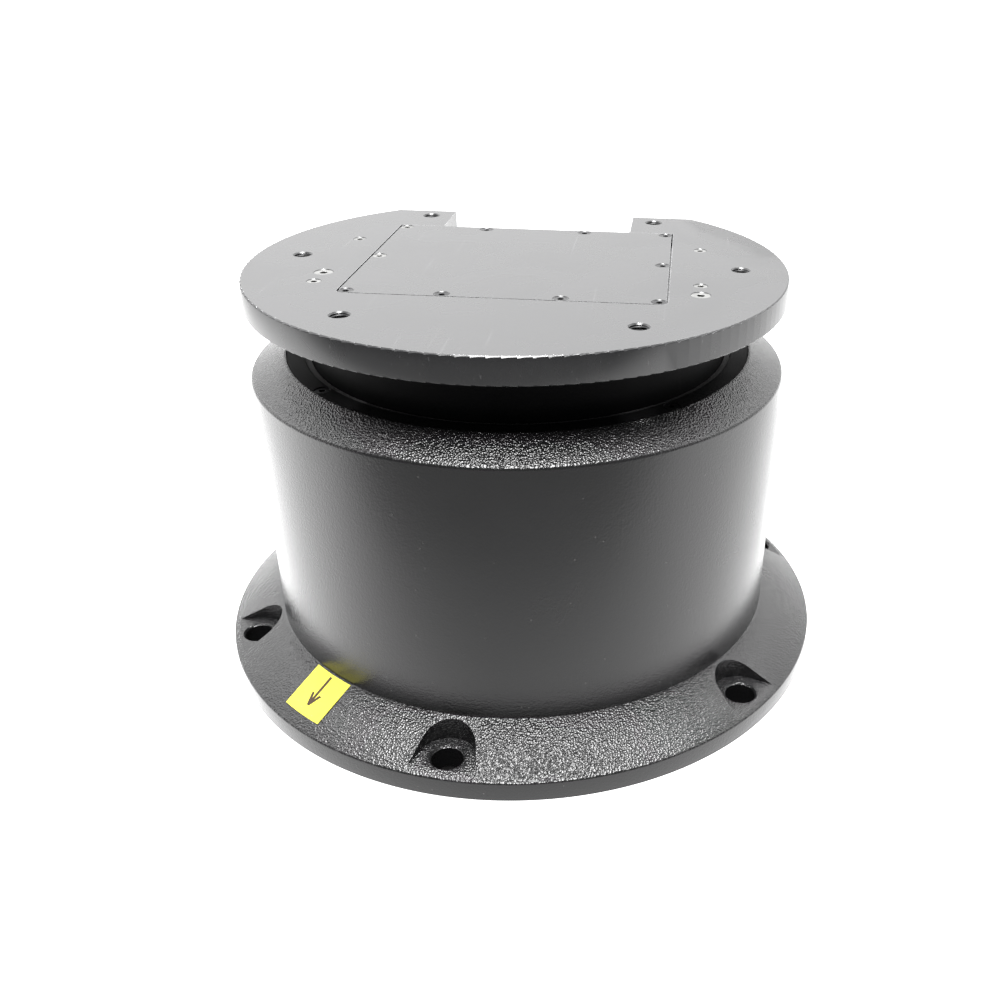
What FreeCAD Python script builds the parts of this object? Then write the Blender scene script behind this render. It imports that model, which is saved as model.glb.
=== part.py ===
import FreeCAD, Part
import math
import os

# Motorised rotary base that carries a scanning lidar head on its top plate.
# Millimetres, +Z up, origin at the centre of the flange's underside, +Y towards the cable notch.

# ---- overall sizes --------------------------------------------------------------------------
OVERALL_HEIGHT = 190.0
BODY_RADIUS = 126.0
PLATE_RADIUS = 125.0

# ---- housing --------------------------------------------------------------------------------
FLANGE_WIDTH = 26.0         # from the drum out to the rim
RIM_HEIGHT = 9.6            # vertical rim of the flange
CONE_HEIGHT = 13.7          # rise of the conical flange top
HOUSING_WALL = 9.0
SHOULDER_HEIGHT = 8.0       # rise of the sloped shoulder at the top
LIP_WIDTH = 1.0             # flat lip round the mouth
SHOULDER_RUN = 15.6
RIB_HEIGHT = 12.0           # inner rib that the stator carrier bolts to
RIB_WIDTH = 14.0
FLANGE_BOLTS = 6
FLANGE_BOLT_OFFSET = 14.0   # from the drum out to the bolt circle
FLANGE_HOLE_RADIUS = 7.0
FLANGE_PATTERN_TURN = 24.0
POCKET_RADIUS = 12.5
POCKET_FLOOR = 11.3
POCKET_FLARE = 15.0
PAD_WIDTH = 36.0            # flat pad for the supply connector
PAD_HEIGHT = 32.0
PAD_STAND_OFF = 3.5

# ---- base cover -----------------------------------------------------------------------------
COVER_RECESS = 3.0
COVER_THICKNESS = 4.0
GASKET_THICKNESS = 1.0
COVER_REBATE_WIDTH = 11.5

# ---- bearing --------------------------------------------------------------------------------
BEARING_BORE_RADIUS = 70.0
BEARING_OUTER_RADIUS = 95.0
BEARING_WIDTH = 24.0
BALL_RADIUS = 7.5
BALL_COUNT = 24
RING_THICKNESS = 8.0
CAGE_THICKNESS = 4.0
CAGE_LIP = 1.5              # cage above and below the balls

# ---- hub and seal ---------------------------------------------------------------------------
PLATE_GAP = 25.0            # from the housing's mouth to the plate's underside
NECK_RADIUS = 98.0
NECK_CAVITY_RADIUS = 80.0
HUB_BORE_RADIUS = 36.0
HUB_TUBE_RADIUS = 47.0
HUB_TUBE_STEP = 1.5
SEAL_WIDTH = 2.7
SEAL_HEIGHT = 4.0
SEAL_COVER_DEPTH = 14.0     # from the mouth down to the bearing
SEAL_COVER_FLOOR = 6.0
SEAL_COVER_RECESS = 0.4

# ---- motor ----------------------------------------------------------------------------------
AIR_GAP = 0.6
YOKE_THICKNESS = 4.5
MAGNET_THICKNESS = 3.9
MAGNET_COUNT = 20
STACK_LENGTH = 28.0
TOOTH_COUNT = 24
TOOTH_WIDTH = 7.0
TOOTH_LENGTH = 17.0
BACK_IRON = 6.0
COIL_THICKNESS = 3.5
COIL_OVERHANG = 4.0
SLEEVE_THICKNESS = 6.0
CARRIER_THICKNESS = 6.0

# ---- encoder --------------------------------------------------------------------------------
CLAMP_THICKNESS = 6.0
CLAMP_BOSS = 3.5
DISC_THICKNESS = 1.5
DISC_RADIUS = 90.0
READ_HEAD_GAP = 1.5
READ_HEAD_WIDTH = 24.0

# ---- slip ring ------------------------------------------------------------------------------
SLIP_BODY_RADIUS = 15.0
SLIP_WALL = 3.5
SLIP_LENGTH = 25.0
SLIP_SHAFT_RADIUS = 6.5
SLIP_TRACK_RADIUS = 9.0
SLIP_TRACKS = 5
DRIVER_THICKNESS = 3.0

# ---- boards ---------------------------------------------------------------------------------
BOARD_THICKNESS = 1.6
CONTROL_BOARD_RADIUS = 98.0
CONTROL_BOARD_LIFT = 7.0
JUNCTION_BOARD_LENGTH = 90.0
JUNCTION_BOARD_WIDTH = 40.0
JUNCTION_BOARD_LIFT = 6.0

# ---- top plate and hatch --------------------------------------------------------------------
PLATE_THICKNESS = 12.0
PLATE_REAR = 95.7           # from the axis to the rear flat
NOTCH_HALF_WIDTH = 48.5
NOTCH_FRONT = 62.5
NOTCH_FLOOR_DROP = 18.0     # the notch goes on down into the neck
HATCH_HALF_WIDTH = 70.8
HATCH_FRONT = -56.3
HATCH_THICKNESS = 3.0
HATCH_GAP = 0.7
HATCH_LEDGE = 11.0
HATCH_SCREW_INSET = 3.8
HATCH_INNER_SCREW_X = 25.4
HEAD_BOLT_RADIUS = 4.0
HEAD_BOLT_X = 60.0
HEAD_BOLT_Y = 85.0
HEAD_SIDE_BOLT_X = 103.0
FIXING_X = 84.5
CONNECTOR_X = 17.0
CONNECTOR_DROP = 14.6       # from the plate's top to the connector's axis
CONNECTOR_RADIUS = 9.0
CONNECTOR_REACH = 14.5
PANEL_THICKNESS = 3.0

# ---- fits -----------------------------------------------------------------------------------
SEAT_CLEARANCE = 0.05       # bolted and pressed pieces
RUNNING_CLEARANCE = 0.05    # balls in their grooves and pockets, shaft in its bush
FREE_CLEARANCE = 0.4        # between pieces that turn past each other
SCREW_CLEARANCE = 0.05
WIRE_CLEARANCE = 1.5
COVER_CLEARANCE = 0.3       # round plates dropped into a recess
THROUGH_CLEARANCE = 0.1     # small screws through boards and panels

# ---- levels, from the top plate downwards ---------------------------------------------------
PLATE_BOTTOM = OVERALL_HEIGHT - PLATE_THICKNESS
MOUTH_TOP = PLATE_BOTTOM - PLATE_GAP
SHOULDER_BOTTOM = MOUTH_TOP - SHOULDER_HEIGHT
BEARING_TOP = MOUTH_TOP - SEAL_COVER_DEPTH
BEARING_BOTTOM = BEARING_TOP - BEARING_WIDTH
CLAMP_BOTTOM = BEARING_BOTTOM - CLAMP_THICKNESS
DISC_TOP = CLAMP_BOTTOM - CLAMP_BOSS
DISC_BOTTOM = DISC_TOP - DISC_THICKNESS
ENCODER_HUB_BOTTOM = DISC_BOTTOM - 3.0
HEAD_ARM_TOP = DISC_BOTTOM - READ_HEAD_GAP
COIL_TOP = HEAD_ARM_TOP - 8.5
STACK_TOP = COIL_TOP - COIL_OVERHANG
STACK_BOTTOM = STACK_TOP - STACK_LENGTH
COIL_BOTTOM = STACK_BOTTOM - COIL_OVERHANG
YOKE_BOTTOM = STACK_BOTTOM - 2.0
YOKE_TOP = STACK_TOP + 2.0
LOCK_RING_BOTTOM = YOKE_BOTTOM - 4.0
DRIVER_BOTTOM = LOCK_RING_BOTTOM - DRIVER_THICKNESS
CARRIER_TOP = DRIVER_BOTTOM - 3.0
CARRIER_BOTTOM = CARRIER_TOP - CARRIER_THICKNESS
SLIP_FLANGE_BOTTOM = CARRIER_BOTTOM - 3.0
SLIP_BOTTOM = SLIP_FLANGE_BOTTOM - SLIP_LENGTH

# ---- levels, from the base upwards ----------------------------------------------------------
COVER_TOP = COVER_RECESS + COVER_THICKNESS
CAVITY_FLOOR = COVER_TOP + GASKET_THICKNESS
CONE_TOP = RIM_HEIGHT + CONE_HEIGHT
BOARD_BOTTOM = COVER_TOP + CONTROL_BOARD_LIFT
BOARD_TOP = BOARD_BOTTOM + BOARD_THICKNESS
HEADER_TOP = BOARD_TOP + 9.0

# ---- radii that follow from the sizes above -------------------------------------------------
FLANGE_RADIUS = BODY_RADIUS + FLANGE_WIDTH
FLANGE_BOLT_PCD = 2 * (BODY_RADIUS + FLANGE_BOLT_OFFSET)
MOUTH_RADIUS = BODY_RADIUS - SHOULDER_RUN
CAVITY_RADIUS = BODY_RADIUS - HOUSING_WALL
COVER_REBATE_RADIUS = CAVITY_RADIUS + COVER_REBATE_WIDTH
RIB_RADIUS = CAVITY_RADIUS - RIB_WIDTH
MOUTH_BORE_RADIUS = MOUTH_RADIUS - LIP_WIDTH
CAGE_HEIGHT = 2 * (BALL_RADIUS + CAGE_LIP)
BALL_PITCH_RADIUS = (BEARING_BORE_RADIUS + BEARING_OUTER_RADIUS) / 2
INNER_LAND_RADIUS = BEARING_BORE_RADIUS + RING_THICKNESS
OUTER_LAND_RADIUS = BEARING_OUTER_RADIUS - RING_THICKNESS
OUTER_SHOULDER_RADIUS = OUTER_LAND_RADIUS + 3.0
YOKE_RADIUS = HUB_TUBE_RADIUS + YOKE_THICKNESS
MAGNET_RADIUS = YOKE_RADIUS + MAGNET_THICKNESS
TOOTH_TIP_RADIUS = MAGNET_RADIUS + AIR_GAP
BACK_IRON_RADIUS = TOOTH_TIP_RADIUS + TOOTH_LENGTH
CORE_RADIUS = BACK_IRON_RADIUS + BACK_IRON
SLEEVE_RADIUS = CORE_RADIUS + SLEEVE_THICKNESS
SEAL_OUTER_RADIUS = NECK_RADIUS + FREE_CLEARANCE + SEAL_WIDTH
HATCH_REAR = NOTCH_FRONT
HATCH_BED = OVERALL_HEIGHT - HATCH_THICKNESS - GASKET_THICKNESS
NOTCH_FLOOR = PLATE_BOTTOM - NOTCH_FLOOR_DROP
CAVITY_BOTTOM = NOTCH_FLOOR - 10.0
CONNECTOR_Z = OVERALL_HEIGHT - CONNECTOR_DROP
BARREL_RADIUS = CONNECTOR_RADIUS - 2.0

os.makedirs("parts", exist_ok=True)


# ---- helpers --------------------------------------------------------------------------------
def export(name, shape):
    shape.exportStep("parts/" + name + ".step")


def outline(corners, place):
    """Closed wire through (u, v, fillet) corners; place() puts (u, v) in space."""
    edges = []
    starts = []
    ends = []
    mids = []
    count = len(corners)
    for i in range(count):
        u, v, fillet = corners[i]
        here = FreeCAD.Vector(u, v, 0)
        before = FreeCAD.Vector(corners[i - 1][0], corners[i - 1][1], 0)
        after = FreeCAD.Vector(corners[(i + 1) % count][0], corners[(i + 1) % count][1], 0)
        along_in = (here - before).normalize()
        along_out = (after - here).normalize()
        turn = along_in.getAngle(along_out)
        if fillet == 0 or turn < 0.001:
            starts.append(here)
            ends.append(here)
            mids.append(None)
            continue
        reach = fillet * math.tan(turn / 2)
        inward = (along_out - along_in).normalize()
        starts.append(here - along_in * reach)
        ends.append(here + along_out * reach)
        mids.append(here + inward * (fillet / math.cos(turn / 2) - fillet))
    for i in range(count):
        if mids[i] is not None:
            arc = Part.Arc(place(starts[i]), place(mids[i]), place(ends[i]))
            edges.append(arc.toShape())
        a = place(ends[i])
        b = place(starts[(i + 1) % count])
        if a.distanceToPoint(b) > 1e-6:
            edges.append(Part.makeLine(a, b))
    return Part.Wire(Part.__sortEdges__(edges))


def turned_solid(corners):
    """Solid of revolution about Z from (radius, z, fillet) corners."""
    wire = outline(corners, lambda p: FreeCAD.Vector(p.x, 0, p.y))
    return Part.Face(wire).revolve(FreeCAD.Vector(0, 0, 0), FreeCAD.Vector(0, 0, 1), 360)


def prism(corners, low, high):
    """Upright prism on an (x, y, fillet) outline."""
    wire = outline(corners, lambda p: FreeCAD.Vector(p.x, p.y, low))
    return Part.Face(wire).extrude(FreeCAD.Vector(0, 0, high - low))


def rectangle(x_low, x_high, y_low, y_high, fillet=0.0):
    return [(x_low, y_low, fillet), (x_high, y_low, fillet), (x_high, y_high, fillet),
            (x_low, y_high, fillet)]


def block(x_low, x_high, y_low, y_high, z_low, z_high):
    corner = FreeCAD.Vector(x_low, y_low, z_low)
    return Part.makeBox(x_high - x_low, y_high - y_low, z_high - z_low, corner)


def cylinder(radius, low, high, x=0.0, y=0.0):
    return Part.makeCylinder(radius, high - low, FreeCAD.Vector(x, y, low))


def ring(inner, outer, low, high):
    return cylinder(outer, low, high).cut(cylinder(inner, low - 1, high + 1))


def rear_cylinder(radius, y_low, y_high, x, z):
    """Cylinder whose axis runs along +Y."""
    start = FreeCAD.Vector(x, y_low, z)
    return Part.makeCylinder(radius, y_high - y_low, start, FreeCAD.Vector(0, 1, 0))


def turned(shape, degrees):
    copy = shape.copy()
    copy.rotate(FreeCAD.Vector(0, 0, 0), FreeCAD.Vector(0, 0, 1), degrees)
    return copy


def around(shape, count, start=0.0):
    return [turned(shape, start + 360.0 * i / count) for i in range(count)]


def at(shape, points):
    copies = []
    for x, y, z in points:
        copy = shape.copy()
        copy.translate(FreeCAD.Vector(x, y, z))
        copies.append(copy)
    return copies


def level(points, z):
    """The same points, all at one height."""
    return [(point[0], point[1], z) for point in points]


def polar(radius, count, start, z):
    angles = [math.radians(start + 360.0 * i / count) for i in range(count)]
    return [(radius * math.cos(a), radius * math.sin(a), z) for a in angles]


def upside_down(shape):
    copy = shape.copy()
    copy.rotate(FreeCAD.Vector(0, 0, 0), FreeCAD.Vector(1, 0, 0), 180)
    return copy


def facing_rear(shape):
    """Turn an upright shape so that its top faces +Y."""
    copy = shape.copy()
    copy.rotate(FreeCAD.Vector(0, 0, 0), FreeCAD.Vector(1, 0, 0), -90)
    return copy


def hexagon(across_flats, low, high):
    radius = across_flats / math.sqrt(3)
    corners = [(radius * math.cos(math.radians(60 * i)), radius * math.sin(math.radians(60 * i)), 0)
               for i in range(6)]
    return prism(corners, low, high)


CAP_HEAD_RATIO = 1.75


def cap_screw(thread_radius, length):
    """Socket head screw: seat at z = 0, head above, shank below."""
    head_radius = thread_radius * CAP_HEAD_RATIO
    head_height = thread_radius * 1.2
    head = cylinder(head_radius, 0, head_height)
    socket = hexagon(thread_radius * 1.5, head_height / 2, head_height + 1)
    return head.cut(socket).fuse(cylinder(thread_radius, -length, 0)).removeSplitter()


def flat_screw(thread_radius, head_radius, length):
    """Countersunk screw with its head's top at z = 0."""
    cone = Part.makeCone(thread_radius, head_radius, head_radius - thread_radius,
                         FreeCAD.Vector(0, 0, thread_radius - head_radius))
    socket = hexagon(thread_radius * 1.25, -thread_radius * 0.6, 1)
    shank = cylinder(thread_radius, -length, thread_radius - head_radius)
    return cone.fuse(shank).removeSplitter().cut(socket)


def flat_screw_hole(thread_radius, head_radius, length, sink):
    """Cutter for a flat screw whose head lies `sink` below the surface at z = 0."""
    top_radius = head_radius + sink
    cone = Part.makeCone(thread_radius, top_radius, top_radius - thread_radius,
                         FreeCAD.Vector(0, 0, thread_radius - top_radius))
    shank = cylinder(thread_radius + SCREW_CLEARANCE, -length - sink - 1, 0.5)
    return cone.fuse(shank)


def lead(points, radius):
    """Bundle of wires: straight runs joined by tangent arcs."""
    runs = [FreeCAD.Vector(*p) for p in points]
    edges = []
    last = runs[0]
    for i in range(1, len(runs) - 1):
        along_in = (runs[i] - runs[i - 1])
        along_out = (runs[i + 1] - runs[i])
        shorter = min(along_in.Length, along_out.Length)
        along_in.normalize()
        along_out.normalize()
        turn = along_in.getAngle(along_out)
        reach = 0.45 * shorter
        bend = reach / math.tan(turn / 2)
        start = runs[i] - along_in * reach
        end = runs[i] + along_out * reach
        inward = (along_out - along_in).normalize()
        mid = runs[i] + inward * (bend / math.cos(turn / 2) - bend)
        edges.append(Part.makeLine(last, start))
        edges.append(Part.Arc(start, mid, end).toShape())
        last = end
    edges.append(Part.makeLine(last, runs[-1]))
    path = Part.Wire(edges)
    section = Part.Wire([Part.makeCircle(radius, runs[0], runs[1] - runs[0])])
    return path.makePipeShell([section], True, False)


# ---- screws, by size ------------------------------------------------------------------------
M3 = 1.5
M4 = 2.0
M5 = 2.5
FLAT_SINK = 0.3
HATCH_HEAD_RADIUS = 3.3
LARGE_HEAD_RADIUS = 4.2
SMALL_HEAD_RADIUS = 3.0

SEAL_COVER_SCREW_RADIUS = (SEAL_OUTER_RADIUS + MOUTH_BORE_RADIUS) / 2
SEAL_COVER_TOP = MOUTH_TOP - SEAL_COVER_RECESS
SEAL_SCREWS = polar(SEAL_COVER_SCREW_RADIUS, 4, 45, SEAL_COVER_TOP - FLAT_SINK)
COVER_SCREW_RADIUS = (CAVITY_RADIUS + COVER_REBATE_RADIUS) / 2
COVER_SCREWS = polar(COVER_SCREW_RADIUS, 6, FLANGE_PATTERN_TURN + 30, COVER_RECESS + FLAT_SINK)
DRUM_SCREW_RADIUS = (CAVITY_RADIUS + BODY_RADIUS) / 2
DRUM_SCREW_SEAT = CAVITY_FLOOR + 4.0
DRUM_SCREW_GRIP = 12.0
DRUM_HEAD_RADIUS = 4.6
DRUM_SCREWS = polar(DRUM_SCREW_RADIUS, 6, FLANGE_PATTERN_TURN + 45, DRUM_SCREW_SEAT)
CARRIER_SCREW_RADIUS = RIB_RADIUS + 7.0
CARRIER_SCREWS = polar(CARRIER_SCREW_RADIUS, 6, 0, CARRIER_BOTTOM)
CLAMP_SCREW_RADIUS = (HUB_TUBE_RADIUS + HUB_TUBE_STEP + BEARING_BORE_RADIUS) / 2 + 5.0
CLAMP_SCREWS = polar(CLAMP_SCREW_RADIUS, 8, 0, CLAMP_BOTTOM)
DRIVER_SCREW_RADIUS = (HUB_BORE_RADIUS + HUB_TUBE_RADIUS) / 2
DRIVER_SCREWS = polar(DRIVER_SCREW_RADIUS, 4, 45, DRIVER_BOTTOM)
SLIP_SCREW_RADIUS = SLIP_BODY_RADIUS + 5.0
SLIP_SCREWS = polar(SLIP_SCREW_RADIUS, 3, 30, SLIP_FLANGE_BOTTOM)
BOARD_POST_RADIUS = CONTROL_BOARD_RADIUS - 8.0
BOARD_POSTS = polar(BOARD_POST_RADIUS, 4, 45, 0)

HATCH_SCREW_X = HATCH_HALF_WIDTH - HATCH_SCREW_INSET
HATCH_SCREW_FRONT = HATCH_FRONT + HATCH_SCREW_INSET
HATCH_SCREW_REAR = HATCH_REAR - HATCH_SCREW_INSET
HATCH_SCREW_MIDDLE = (HATCH_SCREW_FRONT + HATCH_SCREW_REAR) / 2
HATCH_SCREW_TOP = OVERALL_HEIGHT - FLAT_SINK
DARK_HATCH_SCREWS = [(x, HATCH_SCREW_FRONT, HATCH_SCREW_TOP)
                     for x in (-HATCH_SCREW_X, -HATCH_INNER_SCREW_X, HATCH_INNER_SCREW_X, HATCH_SCREW_X)]
DARK_HATCH_SCREWS += [(x, HATCH_SCREW_REAR, HATCH_SCREW_TOP)
                      for x in (-HATCH_INNER_SCREW_X, HATCH_INNER_SCREW_X, HATCH_SCREW_X)]
DARK_HATCH_SCREWS += [(HATCH_SCREW_X, HATCH_SCREW_MIDDLE, HATCH_SCREW_TOP)]
PLAIN_HATCH_SCREWS = [(-HATCH_SCREW_X, y, HATCH_SCREW_TOP) for y in (HATCH_SCREW_MIDDLE, HATCH_SCREW_REAR)]
HATCH_SCREWS = DARK_HATCH_SCREWS + PLAIN_HATCH_SCREWS
LARGE_FIXINGS = [(-FIXING_X, -27.0, HATCH_SCREW_TOP), (FIXING_X, -40.5, HATCH_SCREW_TOP)]
SMALL_FIXINGS = [(-FIXING_X, -41.0, HATCH_SCREW_TOP), (FIXING_X, -27.0, HATCH_SCREW_TOP),
                 (-FIXING_X, 32.0, HATCH_SCREW_TOP), (FIXING_X, 32.0, HATCH_SCREW_TOP)]


# ---- base: flange and drum ------------------------------------------------------------------
def flange_pocket():
    """Bolt pocket on +X: round at the body side, flared towards the rim."""
    bolt_radius = FLANGE_BOLT_PCD / 2
    flare = math.radians(POCKET_FLARE)
    tangent_x = bolt_radius - POCKET_RADIUS * math.sin(flare)
    tangent_y = POCKET_RADIUS * math.cos(flare)
    outer_x = FLANGE_RADIUS + 5
    outer_y = tangent_y + (outer_x - tangent_x) * math.tan(flare)
    mouth = prism([(tangent_x, -tangent_y, 0), (outer_x, -outer_y, 0), (outer_x, outer_y, 0),
                   (tangent_x, tangent_y, 0)], POCKET_FLOOR, CONE_TOP + 1)
    bowl = cylinder(POCKET_RADIUS, POCKET_FLOOR, CONE_TOP + 1, bolt_radius)
    hole = cylinder(FLANGE_HOLE_RADIUS, -1, POCKET_FLOOR + 1, bolt_radius)
    chamfer = Part.makeCone(FLANGE_HOLE_RADIUS, FLANGE_HOLE_RADIUS + 0.8, 0.8,
                            FreeCAD.Vector(bolt_radius, 0, POCKET_FLOOR - 0.8))
    return mouth.fuse([bowl, hole, chamfer])


PAD_Z = CONE_TOP + PAD_HEIGHT / 2
PAD_FACE = BODY_RADIUS + PAD_STAND_OFF
IO_FLANGE = 26.0
IO_SCREW_OFFSET = 9.8
IO_BARREL_RADIUS = 8.0
IO_BACK_RADIUS = 7.0
IO_BACK_END = CAVITY_RADIUS - 4.0
IO_SCREW_POINTS = [(x, PAD_FACE + 2.5, PAD_Z + z) for x in (-IO_SCREW_OFFSET, IO_SCREW_OFFSET)
                   for z in (-IO_SCREW_OFFSET, IO_SCREW_OFFSET)]
GROUND_ANGLE = 60.0
GROUND_Z = PAD_Z


def ground_boss(radius, start, end):
    foot = FreeCAD.Vector(start, 0, GROUND_Z)
    boss = Part.makeCylinder(radius, end - start, foot, FreeCAD.Vector(1, 0, 0))
    return turned(boss, GROUND_ANGLE)


def make_flange():
    """Conical ring that bolts to the machine; the drum stands on its inner edge."""
    ring_solid = turned_solid([
        (COVER_REBATE_RADIUS, 0, 0),
        (FLANGE_RADIUS, 0, 0.8),
        (FLANGE_RADIUS, RIM_HEIGHT, 1.2),
        (BODY_RADIUS, CONE_TOP, 0),
        (CAVITY_RADIUS, CONE_TOP, 0),
        (CAVITY_RADIUS, CAVITY_FLOOR, 0),
        (COVER_REBATE_RADIUS, CAVITY_FLOOR, 0),
    ])
    cutters = around(flange_pocket(), FLANGE_BOLTS, FLANGE_PATTERN_TURN)
    cutters += at(cylinder(M4 + SCREW_CLEARANCE, -1, 12), level(COVER_SCREWS, CAVITY_FLOOR))
    head = cylinder(DRUM_HEAD_RADIUS, CAVITY_FLOOR - 1, DRUM_SCREW_SEAT)
    shank = cylinder(M5 + SCREW_CLEARANCE, CAVITY_FLOOR, CONE_TOP + 1)
    cutters += at(head.fuse(shank), level(DRUM_SCREWS, 0))
    return ring_solid.cut(cutters)


def make_housing():
    shell = turned_solid([
        (CAVITY_RADIUS, CONE_TOP, 0),
        (BODY_RADIUS, CONE_TOP, 0),
        (BODY_RADIUS, SHOULDER_BOTTOM, 2.0),
        (MOUTH_RADIUS, MOUTH_TOP, 0.5),
        (MOUTH_BORE_RADIUS, MOUTH_TOP, 0),
        (MOUTH_BORE_RADIUS, BEARING_TOP, 0),
        (BEARING_OUTER_RADIUS + SEAT_CLEARANCE, BEARING_TOP, 0),
        (BEARING_OUTER_RADIUS + SEAT_CLEARANCE, BEARING_BOTTOM, 0),
        (OUTER_SHOULDER_RADIUS, BEARING_BOTTOM, 0),
        (OUTER_SHOULDER_RADIUS, CLAMP_BOTTOM, 0),
        (CAVITY_RADIUS, CLAMP_BOTTOM, 4.0),
        (CAVITY_RADIUS, CARRIER_TOP + RIB_HEIGHT, 4.0),
        (RIB_RADIUS, CARRIER_TOP + RIB_HEIGHT, 1.0),
        (RIB_RADIUS, CARRIER_TOP, 0),
        (CAVITY_RADIUS, CARRIER_TOP, 0),
    ])
    pad = block(-PAD_WIDTH / 2, PAD_WIDTH / 2, CAVITY_RADIUS + 3, PAD_FACE,
                PAD_Z - PAD_HEIGHT / 2, PAD_Z + PAD_HEIGHT / 2)
    pad = pad.makeFillet(4.0, [e for e in pad.Edges if abs(e.tangentAt(e.FirstParameter).y) > 0.9])
    shell = shell.fuse([pad, ground_boss(6.0, CAVITY_RADIUS + 3, BODY_RADIUS + 1.5)])
    cutters = at(cylinder(M4 + SCREW_CLEARANCE, -13, 1), level(SEAL_SCREWS, SEAL_COVER_TOP - 6))
    drum_hole = cylinder(M5 + SCREW_CLEARANCE, -1, DRUM_SCREW_GRIP + 1)
    cutters += at(drum_hole, level(DRUM_SCREWS, CONE_TOP))
    carrier_hole = cylinder(M4 + SCREW_CLEARANCE, -1, RIB_HEIGHT - 1)
    cutters += at(carrier_hole, level(CARRIER_SCREWS, CARRIER_TOP))
    cutters.append(rear_cylinder(IO_BACK_RADIUS + SEAT_CLEARANCE, IO_BACK_END - 1, PAD_FACE + 1, 0, PAD_Z))
    cutters += [rear_cylinder(M3 + SCREW_CLEARANCE, PAD_FACE - 9, PAD_FACE + 1, x, z)
                for x, y, z in IO_SCREW_POINTS]
    cutters.append(ground_boss(M4 + SCREW_CLEARANCE, BODY_RADIUS - 7, BODY_RADIUS + 2))
    return shell.cut(cutters)


def make_base_cover():
    plate = cylinder(COVER_REBATE_RADIUS - COVER_CLEARANCE, COVER_RECESS, COVER_TOP)
    hole = upside_down(flat_screw_hole(M4, HATCH_HEAD_RADIUS, 10, FLAT_SINK))
    return plate.cut(at(hole, level(COVER_SCREWS, COVER_RECESS)))


def make_base_gasket():
    gasket = ring(CAVITY_RADIUS, COVER_REBATE_RADIUS - COVER_CLEARANCE, COVER_TOP, CAVITY_FLOOR)
    hole = cylinder(M4 + SCREW_CLEARANCE, -1, GASKET_THICKNESS + 1)
    return gasket.cut(at(hole, level(COVER_SCREWS, COVER_TOP)))


# ---- base: seal cover, bearing ring ---------------------------------------------------------
def make_seal_cover():
    """Clamps the bearing's outer ring and carries the neck seal."""
    floor_top = BEARING_TOP + SEAL_COVER_FLOOR
    outer = MOUTH_BORE_RADIUS - SEAT_CLEARANCE
    cover = turned_solid([
        (OUTER_SHOULDER_RADIUS, BEARING_TOP, 0),
        (outer, BEARING_TOP, 0),
        (outer, SEAL_COVER_TOP, 0.4),
        (SEAL_OUTER_RADIUS, SEAL_COVER_TOP, 0.4),
        (SEAL_OUTER_RADIUS, floor_top, 0),
        (OUTER_SHOULDER_RADIUS, floor_top, 0),
    ])
    hole = flat_screw_hole(M4, HATCH_HEAD_RADIUS, SEAL_COVER_DEPTH, FLAT_SINK)
    return cover.cut(at(hole, level(SEAL_SCREWS, SEAL_COVER_TOP)))


def make_neck_seal():
    top = SEAL_COVER_TOP - 1.0
    low = top - SEAL_HEIGHT
    inner = NECK_RADIUS + FREE_CLEARANCE
    outer = SEAL_OUTER_RADIUS - SEAT_CLEARANCE
    lip = inner + 1.2
    return turned_solid([(inner, top, 0), (lip, low + 1.2, 0), (lip, low, 0), (outer, low, 0),
                         (outer, top, 0)])


def ball_groove():
    groove = Part.makeTorus(BALL_PITCH_RADIUS, BALL_RADIUS + RUNNING_CLEARANCE)
    groove.translate(FreeCAD.Vector(0, 0, (BEARING_TOP + BEARING_BOTTOM) / 2))
    return groove


def make_outer_ring():
    low = BEARING_BOTTOM
    high = BEARING_TOP
    blank = turned_solid([(OUTER_LAND_RADIUS, low, 0.6), (BEARING_OUTER_RADIUS, low, 1.0),
                          (BEARING_OUTER_RADIUS, high, 1.0), (OUTER_LAND_RADIUS, high, 0.6)])
    return blank.cut(ball_groove())


def make_inner_ring():
    low = BEARING_BOTTOM
    high = BEARING_TOP
    bore = BEARING_BORE_RADIUS + SEAT_CLEARANCE
    blank = turned_solid([(bore, low, 1.0), (INNER_LAND_RADIUS, low, 0.6),
                          (INNER_LAND_RADIUS, high, 0.6), (bore, high, 1.0)])
    return blank.cut(ball_groove())


def make_cage():
    middle = (BEARING_TOP + BEARING_BOTTOM) / 2
    inner = BALL_PITCH_RADIUS - CAGE_THICKNESS / 2
    band = ring(inner, inner + CAGE_THICKNESS, middle - CAGE_HEIGHT / 2, middle + CAGE_HEIGHT / 2)
    window = Part.makeCylinder(BALL_RADIUS + RUNNING_CLEARANCE, CAGE_THICKNESS + 4,
                               FreeCAD.Vector(inner - 2, 0, middle), FreeCAD.Vector(1, 0, 0))
    return band.cut(around(window, BALL_COUNT))


def make_balls():
    middle = (BEARING_TOP + BEARING_BOTTOM) / 2
    ball = Part.makeSphere(BALL_RADIUS, FreeCAD.Vector(BALL_PITCH_RADIUS, 0, middle))
    return Part.makeCompound(around(ball, BALL_COUNT))


# ---- base: motor ----------------------------------------------------------------------------
MOTOR_LEAD_RADIUS = 3.0
MOTOR_LEAD_PLACE = (TOOTH_TIP_RADIUS + TOOTH_LENGTH / 2, 0)
ENCODER_LEAD_RADIUS = 2.5
ENCODER_ANGLE = 75.0
ENCODER_LEAD_OFFSET = SLEEVE_RADIUS + 5.0
ENCODER_HEADER_PLACE = polar(ENCODER_LEAD_OFFSET, 1, ENCODER_ANGLE, 0)[0][:2]
IO_LEAD_RADIUS = 3.0
HEADER_HALF = 6.0
IO_HEADER_PLACE = (0, CONTROL_BOARD_RADIUS - 14.0)


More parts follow.
